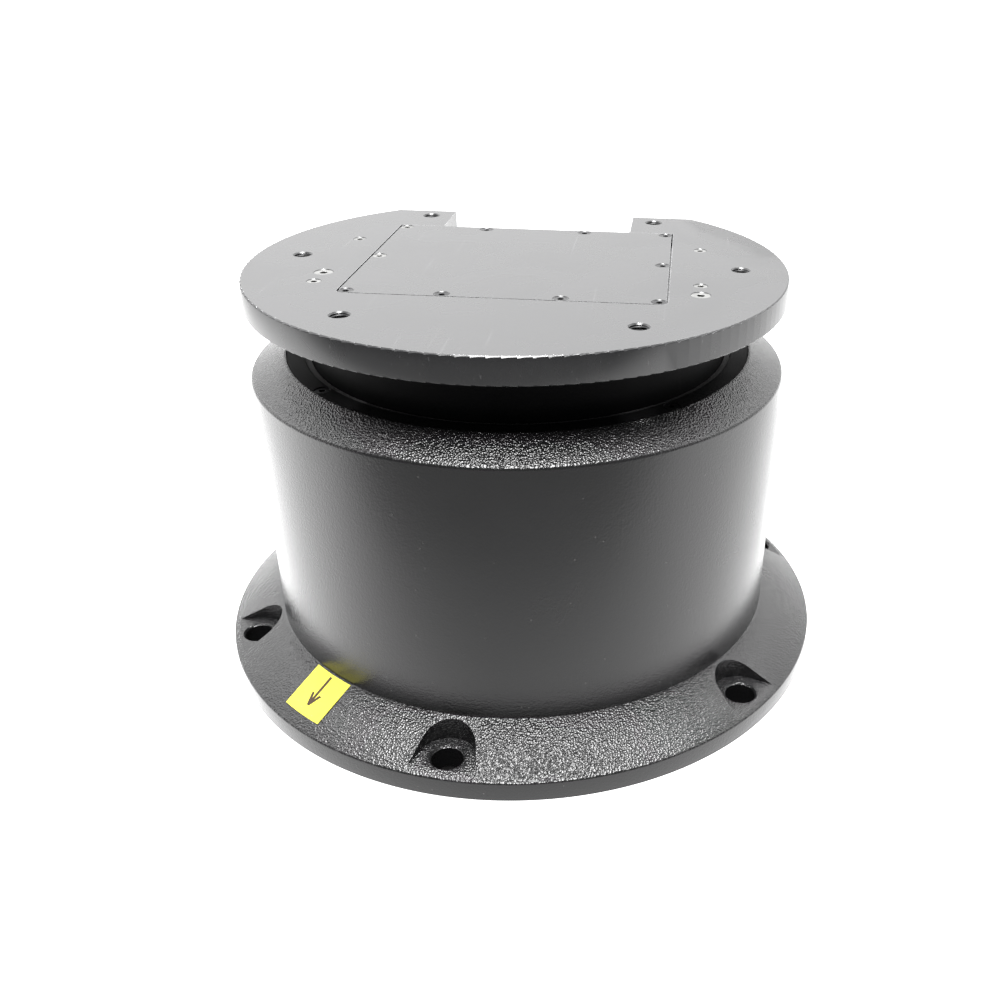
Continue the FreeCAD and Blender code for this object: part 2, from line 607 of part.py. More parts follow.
def make_carrier():
    outer = CAVITY_RADIUS - COVER_CLEARANCE
    carrier = turned_solid([
        (SLIP_TRACK_RADIUS + 1.0, CARRIER_BOTTOM, 0),
        (outer, CARRIER_BOTTOM, 0),
        (outer, CARRIER_TOP, 0),
        (SLEEVE_RADIUS, CARRIER_TOP, 1.5),
        (SLEEVE_RADIUS, COIL_TOP, 0.5),
        (CORE_RADIUS + SEAT_CLEARANCE, COIL_TOP, 0.5),
        (CORE_RADIUS + SEAT_CLEARANCE, STACK_BOTTOM, 0),
        (CORE_RADIUS - 3.0, STACK_BOTTOM, 0),
        (CORE_RADIUS - 3.0, CARRIER_TOP, 0),
        (SLIP_TRACK_RADIUS + 1.0, CARRIER_TOP, 0),
    ])
    cutters = at(cylinder(M4 + COVER_CLEARANCE, -1, CARRIER_THICKNESS + 1), CARRIER_SCREWS)
    cutters += at(cylinder(M3 + SCREW_CLEARANCE, 2, CARRIER_THICKNESS + 2), SLIP_SCREWS)
    cutters.append(cylinder(MOTOR_LEAD_RADIUS + WIRE_CLEARANCE, CARRIER_BOTTOM - 1, CARRIER_TOP + 1,
                            MOTOR_LEAD_PLACE[0], MOTOR_LEAD_PLACE[1]))
    lead_hole = cylinder(ENCODER_LEAD_RADIUS + WIRE_CLEARANCE, CARRIER_BOTTOM - 1, CARRIER_TOP + 1,
                         ENCODER_LEAD_OFFSET)
    cutters.append(turned(lead_hole, ENCODER_ANGLE))
    cutters.append(rear_cylinder(IO_BACK_RADIUS + WIRE_CLEARANCE, IO_BACK_END - WIRE_CLEARANCE,
                                 CAVITY_RADIUS + 1, 0, PAD_Z))
    cutters.append(rear_cylinder(IO_LEAD_RADIUS + WIRE_CLEARANCE, IO_HEADER_PLACE[1] - HEADER_HALF,
                                 CAVITY_RADIUS + 1, 0, PAD_Z))
    return carrier.cut(cutters)


def make_core():
    core = ring(BACK_IRON_RADIUS, CORE_RADIUS, STACK_BOTTOM, STACK_TOP)
    tooth = block(TOOTH_TIP_RADIUS + 1, BACK_IRON_RADIUS + 2, -TOOTH_WIDTH / 2, TOOTH_WIDTH / 2,
                  STACK_BOTTOM, STACK_TOP)
    tip_half = TOOTH_WIDTH / 2 + 2.2
    tip = block(TOOTH_TIP_RADIUS - 2, TOOTH_TIP_RADIUS + 2.5, -tip_half, tip_half, STACK_BOTTOM, STACK_TOP)
    teeth = around(tooth.fuse(tip), TOOTH_COUNT, 180.0 / TOOTH_COUNT)
    core = core.fuse(teeth)
    return core.cut(cylinder(TOOTH_TIP_RADIUS, STACK_BOTTOM - 1, STACK_TOP + 1)).removeSplitter()


def make_coils():
    low = TOOTH_TIP_RADIUS + 3.0
    high = BACK_IRON_RADIUS - 1.5
    half = TOOTH_WIDTH / 2 + COIL_THICKNESS
    coil = block(low, high, -half, half, COIL_BOTTOM, COIL_TOP)
    coil = coil.makeFillet(2.0, [e for e in coil.Edges if abs(e.tangentAt(e.FirstParameter).x) > 0.9])
    window = block(low - 1, high + 1, -TOOTH_WIDTH / 2, TOOTH_WIDTH / 2, STACK_BOTTOM, STACK_TOP)
    return Part.makeCompound(around(coil.cut(window), TOOTH_COUNT, 180.0 / TOOTH_COUNT))


# ---- base: encoder head, slip ring, boards, connectors --------------------------------------
def make_read_head():
    """U-shaped head on the carrier's sleeve, round the edge of the encoder disc."""
    post_inner = DISC_RADIUS + 2.0
    outer = DISC_RADIUS + 8.0
    half = READ_HEAD_WIDTH / 2
    lower = block(CORE_RADIUS + 1, outer, -half, half, COIL_TOP, HEAD_ARM_TOP)
    post = block(post_inner, outer, -half, half, COIL_TOP, CLAMP_BOTTOM - 0.3)
    upper = block(DISC_RADIUS - 6, outer, -half, half, DISC_TOP + READ_HEAD_GAP, CLAMP_BOTTOM - 0.3)
    return turned(lower.fuse([post, upper]).removeSplitter(), ENCODER_ANGLE)


def make_slip_body():
    inner = SLIP_BODY_RADIUS - SLIP_WALL
    flange = SLIP_SCREW_RADIUS + 4.0
    body = turned_solid([
        (0, SLIP_BOTTOM, 0),
        (SLIP_BODY_RADIUS, SLIP_BOTTOM, 1.0),
        (SLIP_BODY_RADIUS, SLIP_FLANGE_BOTTOM, 0),
        (flange, SLIP_FLANGE_BOTTOM, 0),
        (flange, CARRIER_BOTTOM, 0),
        (inner, CARRIER_BOTTOM, 0),
        (inner, SLIP_BOTTOM + 2, 0),
        (0, SLIP_BOTTOM + 2, 0),
    ])
    return body.cut(at(cylinder(M3 + THROUGH_CLEARANCE, -1, 5), SLIP_SCREWS))


SLIP_BUSH_HEIGHT = 4.0
SLIP_BUSH_BOTTOM = CARRIER_BOTTOM - SLIP_BUSH_HEIGHT
SLIP_SHAFT_BOTTOM = SLIP_BOTTOM + 3.0


def make_slip_bush():
    return ring(SLIP_SHAFT_RADIUS + RUNNING_CLEARANCE, SLIP_BODY_RADIUS - SLIP_WALL - SEAT_CLEARANCE,
                SLIP_BUSH_BOTTOM, CARRIER_BOTTOM)


def slip_track_levels():
    room = SLIP_BUSH_BOTTOM - 1.0 - SLIP_SHAFT_BOTTOM
    pitch = room / SLIP_TRACKS
    return [(SLIP_SHAFT_BOTTOM + pitch * (i + 0.25), SLIP_SHAFT_BOTTOM + pitch * (i + 0.75))
            for i in range(SLIP_TRACKS)]


def make_slip_rotor():
    shaft = cylinder(SLIP_SHAFT_RADIUS, SLIP_SHAFT_BOTTOM, LOCK_RING_BOTTOM + 4)
    return shaft.fuse([cylinder(SLIP_TRACK_RADIUS, low, high) for low, high in slip_track_levels()])


def make_brushes():
    inner = SLIP_TRACK_RADIUS + FREE_CLEARANCE
    outer = SLIP_BODY_RADIUS - SLIP_WALL - 0.3
    holder = block(inner, outer, -2.5, 2.5, SLIP_BOTTOM + 2, SLIP_BUSH_BOTTOM - 0.5)
    return Part.makeCompound(around(holder, 2, 0))


def make_driver():
    plate = ring(SLIP_SHAFT_RADIUS + SEAT_CLEARANCE, HUB_TUBE_RADIUS - 0.5, DRIVER_BOTTOM, LOCK_RING_BOTTOM)
    collar = ring(SLIP_SHAFT_RADIUS + SEAT_CLEARANCE, SLIP_SHAFT_RADIUS + 4, LOCK_RING_BOTTOM,
                  LOCK_RING_BOTTOM + 4)
    holes = at(cylinder(M3 + THROUGH_CLEARANCE, -1, DRIVER_THICKNESS + 1), DRIVER_SCREWS)
    return plate.fuse(collar).removeSplitter().cut(holes)


def make_control_board():
    board = ring(SLIP_BODY_RADIUS + 6, CONTROL_BOARD_RADIUS, BOARD_BOTTOM, BOARD_TOP)
    return board.cut(at(cylinder(M3 + THROUGH_CLEARANCE, BOARD_BOTTOM - 1, BOARD_TOP + 1), BOARD_POSTS))


def make_board_posts():
    post = hexagon(6.0, COVER_TOP, BOARD_BOTTOM)
    bore = cylinder(M3 + SCREW_CLEARANCE, BOARD_BOTTOM - 5, BOARD_BOTTOM + 1)
    return Part.makeCompound(at(post.cut(bore), BOARD_POSTS))


def header(place):
    x, y = place
    return block(x - HEADER_HALF, x + HEADER_HALF, y - HEADER_HALF, y + HEADER_HALF, BOARD_TOP, HEADER_TOP)


def make_board_parts():
    """Plug headers, supply capacitors, the drive's power stage and the processor."""
    pieces = [header(IO_HEADER_PLACE), header(MOTOR_LEAD_PLACE), header(ENCODER_HEADER_PLACE)]
    capacitor_places = polar(60, 3, 200, 0)[:1] + polar(60, 12, 215, 0)[:3]
    pieces += at(cylinder(5.0, BOARD_TOP, BOARD_TOP + 16), capacitor_places)
    pieces.append(block(-52, -28, 20, 44, BOARD_TOP, BOARD_TOP + 3))
    pieces.append(block(-12, 12, 40, 60, BOARD_TOP, BOARD_TOP + 2))
    return Part.makeCompound(pieces)


def make_stator_leads():
    """Bundles from the motor winding and from the encoder head straight down to the control board."""
    motor = cylinder(MOTOR_LEAD_RADIUS, HEADER_TOP, COIL_BOTTOM, *MOTOR_LEAD_PLACE)
    encoder = cylinder(ENCODER_LEAD_RADIUS, HEADER_TOP, COIL_TOP, *ENCODER_HEADER_PLACE)
    return Part.makeCompound([motor, encoder])


def make_io_leads():
    x, y = IO_HEADER_PLACE
    return lead([(0, IO_BACK_END, PAD_Z), (0, y, PAD_Z), (x, y, HEADER_TOP)], IO_LEAD_RADIUS)


def make_io_shell():
    half = IO_FLANGE / 2
    flange = prism(rectangle(-half, half, -half, half, 2.5), 0, 2.5)
    shell = flange.fuse([cylinder(IO_BARREL_RADIUS, 2.5, 17), cylinder(IO_BARREL_RADIUS + 1, 2.5, 6)])
    shell = shell.fuse(cylinder(IO_BACK_RADIUS, IO_BACK_END - PAD_FACE, 0)).removeSplitter()
    shell = shell.cut(cylinder(IO_BARREL_RADIUS - 1.5, 5, 18))
    shell = facing_rear(shell)
    shell.translate(FreeCAD.Vector(0, PAD_FACE, PAD_Z))
    return shell.cut([rear_cylinder(M3 + THROUGH_CLEARANCE, PAD_FACE - 1, PAD_FACE + 4, x, z)
                      for x, y, z in IO_SCREW_POINTS])


def make_io_insert():
    radius = IO_BARREL_RADIUS - 1.5 - SEAT_CLEARANCE
    insert = cylinder(radius, 5, 7.5)
    pins = at(cylinder(0.6, 7.5, 11), polar(radius * 0.62, 7, 0, 0) + [(0, 0, 0)])
    insert = facing_rear(insert.fuse(pins))
    insert.translate(FreeCAD.Vector(0, PAD_FACE, PAD_Z))
    return insert


def make_io_screws():
    return Part.makeCompound(at(facing_rear(cap_screw(M3, 9)), IO_SCREW_POINTS))


def make_ground_screw():
    screw = cap_screw(M4, 7)
    screw.rotate(FreeCAD.Vector(0, 0, 0), FreeCAD.Vector(0, 1, 0), 90)
    screw.translate(FreeCAD.Vector(BODY_RADIUS + 1.5, 0, GROUND_Z))
    return turned(screw, GROUND_ANGLE)


LABEL_WIDTH = 23.5
LABEL_LENGTH = 22.0
LABEL_START = 0.9
LABEL_THICKNESS = 0.25


def make_label():
    """Thin sticker on the cone, midway between two bolt pockets."""
    run = FLANGE_RADIUS - BODY_RADIUS
    slope = math.hypot(run, CONE_HEIGHT)
    down = (run / slope, -CONE_HEIGHT / slope)
    up = (CONE_HEIGHT / slope, run / slope)
    corners = []
    for along, lift in ((LABEL_START, 0), (LABEL_START + LABEL_LENGTH, 0),
                        (LABEL_START + LABEL_LENGTH, LABEL_THICKNESS), (LABEL_START, LABEL_THICKNESS)):
        corners.append((BODY_RADIUS + down[0] * along + up[0] * lift,
                        CONE_TOP + down[1] * along + up[1] * lift, 0))
    skin = turned_solid(corners)
    half = LABEL_WIDTH / 2
    window = block(BODY_RADIUS - 2, FLANGE_RADIUS, -half, half, 0, CONE_TOP + 2)
    return turned(skin.common(window), FLANGE_PATTERN_TURN + 150 + 60)


# ---- rotor ----------------------------------------------------------------------------------
def notch_cutter(clearance, low, high):
    """Rear notch, open to the rear: straight walls and small inner corners."""
    half = NOTCH_HALF_WIDTH + clearance
    return prism([(-half, NOTCH_FRONT, 2.0), (half, NOTCH_FRONT, 2.0), (half, BODY_RADIUS + 5, 0),
                  (-half, BODY_RADIUS + 5, 0)], low, high)


PANEL_SCREWS = [(x, NOTCH_FRONT + PANEL_THICKNESS, NOTCH_FLOOR + 5) for x in (-34.0, 34.0)]
JUNCTION_BOARD_Y = -36.0
JUNCTION_POST_X = JUNCTION_BOARD_LENGTH / 2 - 5.0
JUNCTION_POST_Y = JUNCTION_BOARD_WIDTH / 2 - 5.0
JUNCTION_POSTS = [(x, JUNCTION_BOARD_Y + y, 0) for x in (-JUNCTION_POST_X, JUNCTION_POST_X)
                  for y in (-JUNCTION_POST_Y, JUNCTION_POST_Y)]
JUNCTION_BOTTOM = CAVITY_BOTTOM + JUNCTION_BOARD_LIFT
JUNCTION_TOP = JUNCTION_BOTTOM + BOARD_THICKNESS
SOCKET_FACE = JUNCTION_BOARD_Y + 12.0
SOCKET_HEIGHT = 11.0
SOCKET_LEAD_Z = JUNCTION_TOP + 5.0


def make_hub():
    neck_bottom = BEARING_TOP + SEAL_COVER_FLOOR + 1.5
    tube_radius = HUB_TUBE_RADIUS + HUB_TUBE_STEP
    hub = turned_solid([
        (HUB_BORE_RADIUS, LOCK_RING_BOTTOM, 0),
        (HUB_TUBE_RADIUS, LOCK_RING_BOTTOM, 0.5),
        (HUB_TUBE_RADIUS, YOKE_TOP, 0),
        (tube_radius, YOKE_TOP, 0),
        (tube_radius, BEARING_BOTTOM, 0),
        (BEARING_BORE_RADIUS, BEARING_BOTTOM, 0),
        (BEARING_BORE_RADIUS, BEARING_TOP, 0),
        (INNER_LAND_RADIUS - 1.5, BEARING_TOP, 0),
        (INNER_LAND_RADIUS - 1.5, neck_bottom, 1.0),
        (NECK_RADIUS, neck_bottom, 1.0),
        (NECK_RADIUS, PLATE_BOTTOM, 0),
        (NECK_CAVITY_RADIUS, PLATE_BOTTOM, 0),
        (NECK_CAVITY_RADIUS, CAVITY_BOTTOM, 2.0),
        (HUB_BORE_RADIUS, CAVITY_BOTTOM, 1.0),
    ])
    wall = block(-NOTCH_HALF_WIDTH - 6, NOTCH_HALF_WIDTH + 6, NOTCH_FRONT - 6, NECK_CAVITY_RADIUS + 4,
                 CAVITY_BOTTOM, PLATE_BOTTOM)
    wall = wall.common(cylinder(NECK_RADIUS, CAVITY_BOTTOM, PLATE_BOTTOM))
    hub = hub.fuse(wall).removeSplitter()
    cutters = [notch_cutter(0, NOTCH_FLOOR, PLATE_BOTTOM + 1)]
    cutters.append(rear_cylinder(BARREL_RADIUS + SEAT_CLEARANCE, NOTCH_FRONT - 12, NOTCH_FRONT + 1,
                                 CONNECTOR_X, CONNECTOR_Z))
    cutters += at(cylinder(M4 + SCREW_CLEARANCE, -1, 12), level(CLAMP_SCREWS, BEARING_BOTTOM))
    cutters += at(cylinder(M3 + SCREW_CLEARANCE, -1, 8), level(DRIVER_SCREWS, LOCK_RING_BOTTOM))
    cutters += at(cylinder(M5 + SCREW_CLEARANCE, -14, 1), level(LARGE_FIXINGS, PLATE_BOTTOM))
    cutters += at(cylinder(M4 + SCREW_CLEARANCE, -14, 1), level(SMALL_FIXINGS, PLATE_BOTTOM))
    cutters += [rear_cylinder(M3 + SCREW_CLEARANCE, NOTCH_FRONT - 5.5, NOTCH_FRONT + 1, x, z)
                for x, y, z in PANEL_SCREWS]
    cutters += at(cylinder(M3 + SCREW_CLEARANCE, -5, 1), level(JUNCTION_POSTS, CAVITY_BOTTOM))
    return hub.cut(cutters)


def make_clamp():
    inner = HUB_TUBE_RADIUS + HUB_TUBE_STEP + SEAT_CLEARANCE
    boss = inner + 7.0
    clamp = turned_solid([(inner, DISC_TOP, 0), (boss, DISC_TOP, 0), (boss, CLAMP_BOTTOM, 0),
                          (INNER_LAND_RADIUS - 0.5, CLAMP_BOTTOM, 0.5),
                          (INNER_LAND_RADIUS - 0.5, BEARING_BOTTOM, 0), (inner, BEARING_BOTTOM, 0)])
    hole = cylinder(M4 + THROUGH_CLEARANCE, -1, CLAMP_THICKNESS + 1)
    return clamp.cut(at(hole, CLAMP_SCREWS))


def make_encoder_disc():
    """Graduated glass ring with windows over the clamp's screw heads."""
    inner = HUB_TUBE_RADIUS + HUB_TUBE_STEP + SEAT_CLEARANCE
    window = cylinder(M4 * CAP_HEAD_RATIO + FREE_CLEARANCE, DISC_BOTTOM - 1, DISC_TOP + 1)
    return ring(inner, DISC_RADIUS, DISC_BOTTOM, DISC_TOP).cut(at(window, level(CLAMP_SCREWS, 0)))


def make_encoder_hub():
    inner = HUB_TUBE_RADIUS + HUB_TUBE_STEP + SEAT_CLEARANCE
    return ring(inner, inner + 5.0, ENCODER_HUB_BOTTOM, DISC_BOTTOM)


def make_yoke():
    return ring(HUB_TUBE_RADIUS + SEAT_CLEARANCE, YOKE_RADIUS, YOKE_BOTTOM, YOKE_TOP)


def make_magnets():
    band = ring(YOKE_RADIUS, MAGNET_RADIUS, STACK_BOTTOM, STACK_TOP)
    gap = block(YOKE_RADIUS - 2, MAGNET_RADIUS + 2, -0.5, 0.5, STACK_BOTTOM - 1, STACK_TOP + 1)
    return band.cut(around(gap, MAGNET_COUNT))


def make_lock_ring():
    lock = ring(HUB_TUBE_RADIUS + SEAT_CLEARANCE, YOKE_RADIUS + 1, LOCK_RING_BOTTOM, YOKE_BOTTOM)
    key = block(YOKE_RADIUS - 1.5, YOKE_RADIUS + 2, -2, 2, LOCK_RING_BOTTOM - 1, YOKE_BOTTOM + 1)
    return lock.cut(around(key, 4))


def make_plate():
    outer = turned_solid([(0, PLATE_BOTTOM, 0), (PLATE_RADIUS, PLATE_BOTTOM, 0.7),
                          (PLATE_RADIUS, OVERALL_HEIGHT, 0.7), (0, OVERALL_HEIGHT, 0)])
    big = PLATE_RADIUS * 2
    outer = outer.cut(block(-big, big, PLATE_REAR, big, PLATE_BOTTOM - 1, OVERALL_HEIGHT + 1))
    cutters = [notch_cutter(0, PLATE_BOTTOM - 1, OVERALL_HEIGHT + 1)]
    rebate = [(-HATCH_HALF_WIDTH, HATCH_FRONT, 4.0), (HATCH_HALF_WIDTH, HATCH_FRONT, 4.0),
              (HATCH_HALF_WIDTH, HATCH_REAR, 0), (-HATCH_HALF_WIDTH, HATCH_REAR, 0)]
    cutters.append(prism(rebate, HATCH_BED, OVERALL_HEIGHT + 1))
    opening = rectangle(-HATCH_HALF_WIDTH + HATCH_LEDGE, HATCH_HALF_WIDTH - HATCH_LEDGE,
                        HATCH_FRONT + HATCH_LEDGE, HATCH_REAR - HATCH_LEDGE, 6.0)
    cutters.append(prism(opening, PLATE_BOTTOM - 1, OVERALL_HEIGHT + 1))
    head_bolt = cylinder(HEAD_BOLT_RADIUS, PLATE_BOTTOM - 1, OVERALL_HEIGHT + 1)
    mouth = Part.makeCone(HEAD_BOLT_RADIUS, HEAD_BOLT_RADIUS + 0.6, 0.6,
                          FreeCAD.Vector(0, 0, OVERALL_HEIGHT - 0.6))
    cutters += at(head_bolt.fuse(mouth), head_bolt_places())
    cutters += at(cylinder(M4 + SCREW_CLEARANCE, -9, 1), level(HATCH_SCREWS, HATCH_BED))
    large = flat_screw_hole(M5, LARGE_HEAD_RADIUS, PLATE_THICKNESS, FLAT_SINK)
    small = flat_screw_hole(M4, SMALL_HEAD_RADIUS, PLATE_THICKNESS, FLAT_SINK)
    cutters += at(large, level(LARGE_FIXINGS, OVERALL_HEIGHT))
    cutters += at(small, level(SMALL_FIXINGS, OVERALL_HEIGHT))
    cutters.append(rear_cylinder(BARREL_RADIUS + SEAT_CLEARANCE, NOTCH_FRONT - 13, NOTCH_FRONT + 1,
                                 CONNECTOR_X, CONNECTOR_Z))
    return outer.cut(cutters)


def head_bolt_places():
    corners = [(x, y, 0) for x in (-HEAD_BOLT_X, HEAD_BOLT_X) for y in (-HEAD_BOLT_Y, HEAD_BOLT_Y)]
    return corners + [(-HEAD_SIDE_BOLT_X, 0, 0), (HEAD_SIDE_BOLT_X, 0, 0)]


def hatch_outline(gap, rear_gap):
    half = HATCH_HALF_WIDTH - gap
    front = HATCH_FRONT + gap
    rear = HATCH_REAR - rear_gap
    return [(-half, front, 3.5), (half, front, 3.5), (half, rear, 0.5), (-half, rear, 0.5)]


def make_hatch_cover():
    cover = prism(hatch_outline(HATCH_GAP, 0), OVERALL_HEIGHT - HATCH_THICKNESS, OVERALL_HEIGHT)
    hole = flat_screw_hole(M4, HATCH_HEAD_RADIUS, HATCH_THICKNESS, FLAT_SINK)
    return cover.cut(at(hole, level(HATCH_SCREWS, OVERALL_HEIGHT)))


def make_hatch_gasket():
    gasket = prism(hatch_outline(HATCH_GAP + 0.3, 0.5), HATCH_BED, OVERALL_HEIGHT - HATCH_THICKNESS)
    inside = rectangle(-HATCH_HALF_WIDTH + HATCH_LEDGE, HATCH_HALF_WIDTH - HATCH_LEDGE,
                       HATCH_FRONT + HATCH_LEDGE, HATCH_REAR - HATCH_LEDGE, 6.0)
    cutters = [prism(inside, HATCH_BED - 1, OVERALL_HEIGHT)]
    cutters += at(cylinder(M4 + SCREW_CLEARANCE, -1, 3), level(HATCH_SCREWS, HATCH_BED))
    return gasket.cut(cutters)


# ---- rotor: head connector and junction board -----------------------------------------------
CONNECTOR_FACE = NOTCH_FRONT + PANEL_THICKNESS
CONNECTOR_BACK = NOTCH_FRONT - 11.0
PANEL_TOP = PLATE_BOTTOM + 8.0


def make_panel():
    panel = block(-NOTCH_HALF_WIDTH + 4, NOTCH_HALF_WIDTH - 4, NOTCH_FRONT, NOTCH_FRONT + PANEL_THICKNESS,
                  NOTCH_FLOOR, PANEL_TOP)
    cutters = [rear_cylinder(BARREL_RADIUS + SEAT_CLEARANCE, NOTCH_FRONT - 1, CONNECTOR_FACE + 1,
                             CONNECTOR_X, CONNECTOR_Z)]
    cutters += [rear_cylinder(M3 + THROUGH_CLEARANCE, NOTCH_FRONT - 1, NOTCH_FRONT + 5, x, z)
                for x, y, z in PANEL_SCREWS]
    return panel.cut(cutters)


def make_head_shell():
    bore = BARREL_RADIUS - 1.2
    end = CONNECTOR_FACE + CONNECTOR_REACH
    shell = rear_cylinder(BARREL_RADIUS, CONNECTOR_BACK, end, CONNECTOR_X, CONNECTOR_Z)
    return shell.cut(rear_cylinder(bore, CONNECTOR_FACE + 2, end + 1, CONNECTOR_X, CONNECTOR_Z))


def make_head_nut():
    """Coupling ring outside the panel."""
    start = CONNECTOR_FACE
    end = CONNECTOR_FACE + CONNECTOR_REACH - 1.5
    body = rear_cylinder(CONNECTOR_RADIUS, start, end, CONNECTOR_X, CONNECTOR_Z)
    body = body.makeChamfer(0.6, [e for e in body.Edges if e.Curve.TypeId == "Part::GeomCircle"])
    bore = rear_cylinder(BARREL_RADIUS + SEAT_CLEARANCE, start - 1, end + 1, CONNECTOR_X, CONNECTOR_Z)
    return body.cut(bore)


def make_head_insert():
    radius = BARREL_RADIUS - 1.2 - SEAT_CLEARANCE
    start = CONNECTOR_FACE + 2
    insert = rear_cylinder(radius, start, start + 2.5, CONNECTOR_X, CONNECTOR_Z)
    pins = []
    for place in polar(radius * 0.6, 7, 0, 0) + [(0, 0, 0)]:
        pins.append(rear_cylinder(0.5, start + 2.5, start + 5.5, CONNECTOR_X + place[0],
                                  CONNECTOR_Z + place[1]))
    return insert.fuse(pins)


def make_panel_screws():
    return Part.makeCompound(at(facing_rear(cap_screw(M3, 8)), PANEL_SCREWS))


def make_junction_board():
    half_length = JUNCTION_BOARD_LENGTH / 2
    half_width = JUNCTION_BOARD_WIDTH / 2
    front = JUNCTION_BOARD_Y - half_width
    rear = JUNCTION_BOARD_Y + half_width
    board = prism(rectangle(-half_length, half_length, front, rear, 3), JUNCTION_BOTTOM, JUNCTION_TOP)
    hole = cylinder(M3 + THROUGH_CLEARANCE, JUNCTION_BOTTOM - 1, JUNCTION_TOP + 1)
    return board.cut(at(hole, JUNCTION_POSTS))


def make_junction_posts():
    """Male-female spacers screwed into the hub's floor."""
    stud = cylinder(M3, CAVITY_BOTTOM - 4.5, CAVITY_BOTTOM)
    post = hexagon(6.0, CAVITY_BOTTOM, JUNCTION_BOTTOM).fuse(stud)
    bore = cylinder(M3 + SCREW_CLEARANCE, JUNCTION_BOTTOM - 4, JUNCTION_BOTTOM + 1)
    return Part.makeCompound(at(post.cut(bore), JUNCTION_POSTS))


def make_junction_sockets():
    top = JUNCTION_TOP + SOCKET_HEIGHT
    return Part.makeCompound([block(-9, 9, SOCKET_FACE - 12, SOCKET_FACE, JUNCTION_TOP, top),
                              block(13, 27, SOCKET_FACE - 12, SOCKET_FACE, JUNCTION_TOP, top)])


def make_rotor_leads():
    """From the slip ring up the hub's bore to the junction board, and on to the head connector."""
    middle = (CONNECTOR_BACK + SOCKET_FACE) / 2
    up_bore = lead([(0, 0, LOCK_RING_BOTTOM + 4), (0, 0, SOCKET_LEAD_Z), (0, SOCKET_FACE, SOCKET_LEAD_Z)],
                   3.5)
    socket_x = CONNECTOR_X + 2
    to_head = lead([(CONNECTOR_X, CONNECTOR_BACK, CONNECTOR_Z), (CONNECTOR_X, middle + 10, CONNECTOR_Z),
                    (socket_x, middle - 10, SOCKET_LEAD_Z), (socket_x, SOCKET_FACE, SOCKET_LEAD_Z)], 3.0)
    return Part.makeCompound([up_bore, to_head])


def screws(screw, places):
    return Part.makeCompound(at(screw, places))


BOARD_SCREW = cap_screw(M3, BOARD_THICKNESS + 3.5)
HATCH_SCREW = flat_screw(M4, HATCH_HEAD_RADIUS, HATCH_THICKNESS + 7)
DRUM_SCREW = cap_screw(M5, CONE_TOP - DRUM_SCREW_SEAT + DRUM_SCREW_GRIP)

NODES = {
    "base_flange": make_flange(),
    "housing": make_housing(),
    "housing_screws": screws(upside_down(DRUM_SCREW), DRUM_SCREWS),
    "base_cover": make_base_cover(),
    "base_gasket": make_base_gasket(),
    "base_cover_screws": screws(upside_down(flat_screw(M4, HATCH_HEAD_RADIUS, 14)), COVER_SCREWS),
    "seal_cover": make_seal_cover(),
    "seal_cover_screws": screws(flat_screw(M4, HATCH_HEAD_RADIUS, 18), SEAL_SCREWS),
    "neck_seal": make_neck_seal(),
    "bearing_outer_ring": make_outer_ring(),
    "stator_carrier": make_carrier(),
    "stator_carrier_screws": screws(upside_down(cap_screw(M4, CARRIER_THICKNESS + 8)), CARRIER_SCREWS),
    "stator_core": make_core(),
    "stator_coils": make_coils(),
    "encoder_read_head": make_read_head(),
    "slip_ring_body": make_slip_body(),
    "slip_ring_screws": screws(upside_down(cap_screw(M3, 7)), SLIP_SCREWS),
    "slip_ring_bush": make_slip_bush(),
    "slip_ring_brushes": make_brushes(),
    "control_board": make_control_board(),
    "control_board_posts": make_board_posts(),
    "control_board_screws": screws(BOARD_SCREW, level(BOARD_POSTS, BOARD_TOP)),
    "control_board_parts": make_board_parts(),
    "stator_leads": make_stator_leads(),
    "supply_leads": make_io_leads(),
    "supply_connector_shell": make_io_shell(),
    "supply_connector_insert": make_io_insert(),
    "supply_connector_screws": make_io_screws(),
    "ground_screw": make_ground_screw(),
    "direction_label": make_label(),
    "bearing_cage": make_cage(),
    "bearing_balls": make_balls(),
    "bearing_inner_ring": make_inner_ring(),
    "rotor_hub": make_hub(),
    "inner_ring_clamp": make_clamp(),
    "inner_clamp_screws": screws(upside_down(cap_screw(M4, CLAMP_THICKNESS + 9)), CLAMP_SCREWS),
    "rotor_yoke": make_yoke(),
    "rotor_magnets": make_magnets(),
    "rotor_lock_ring": make_lock_ring(),
    "encoder_disc": make_encoder_disc(),
    "encoder_disc_ring": make_encoder_hub(),
    "slip_ring_rotor": make_slip_rotor(),
    "slip_ring_driver": make_driver(),
    "slip_ring_driver_screws": screws(upside_down(cap_screw(M3 * 0.8, 8)), DRIVER_SCREWS),
    "top_plate": make_plate(),
    "hatch_cover": make_hatch_cover(),
    "hatch_gasket": make_hatch_gasket(),
    "hatch_screws": screws(HATCH_SCREW, DARK_HATCH_SCREWS),
    "hatch_screws_plain": screws(HATCH_SCREW, PLAIN_HATCH_SCREWS),
    "plate_screws_large": screws(flat_screw(M5, LARGE_HEAD_RADIUS, PLATE_THICKNESS + 12), LARGE_FIXINGS),
    "plate_screws_small": screws(flat_screw(M4, SMALL_HEAD_RADIUS, PLATE_THICKNESS + 12), SMALL_FIXINGS),
    "connector_panel": make_panel(),
    "panel_screws": make_panel_screws(),
    "head_connector_shell": make_head_shell(),
    "head_connector_nut": make_head_nut(),
    "head_connector_insert": make_head_insert(),
    "junction_board": make_junction_board(),
    "junction_board_posts": make_junction_posts(),
    "junction_board_sockets": make_junction_sockets(),
    "rotor_leads": make_rotor_leads(),
}

for node_name, node_shape in NODES.items():
    export(node_name, node_shape)
print(len(NODES), "nodes")
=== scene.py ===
import math

import bmesh
import bpy
from mathutils import Matrix, Vector


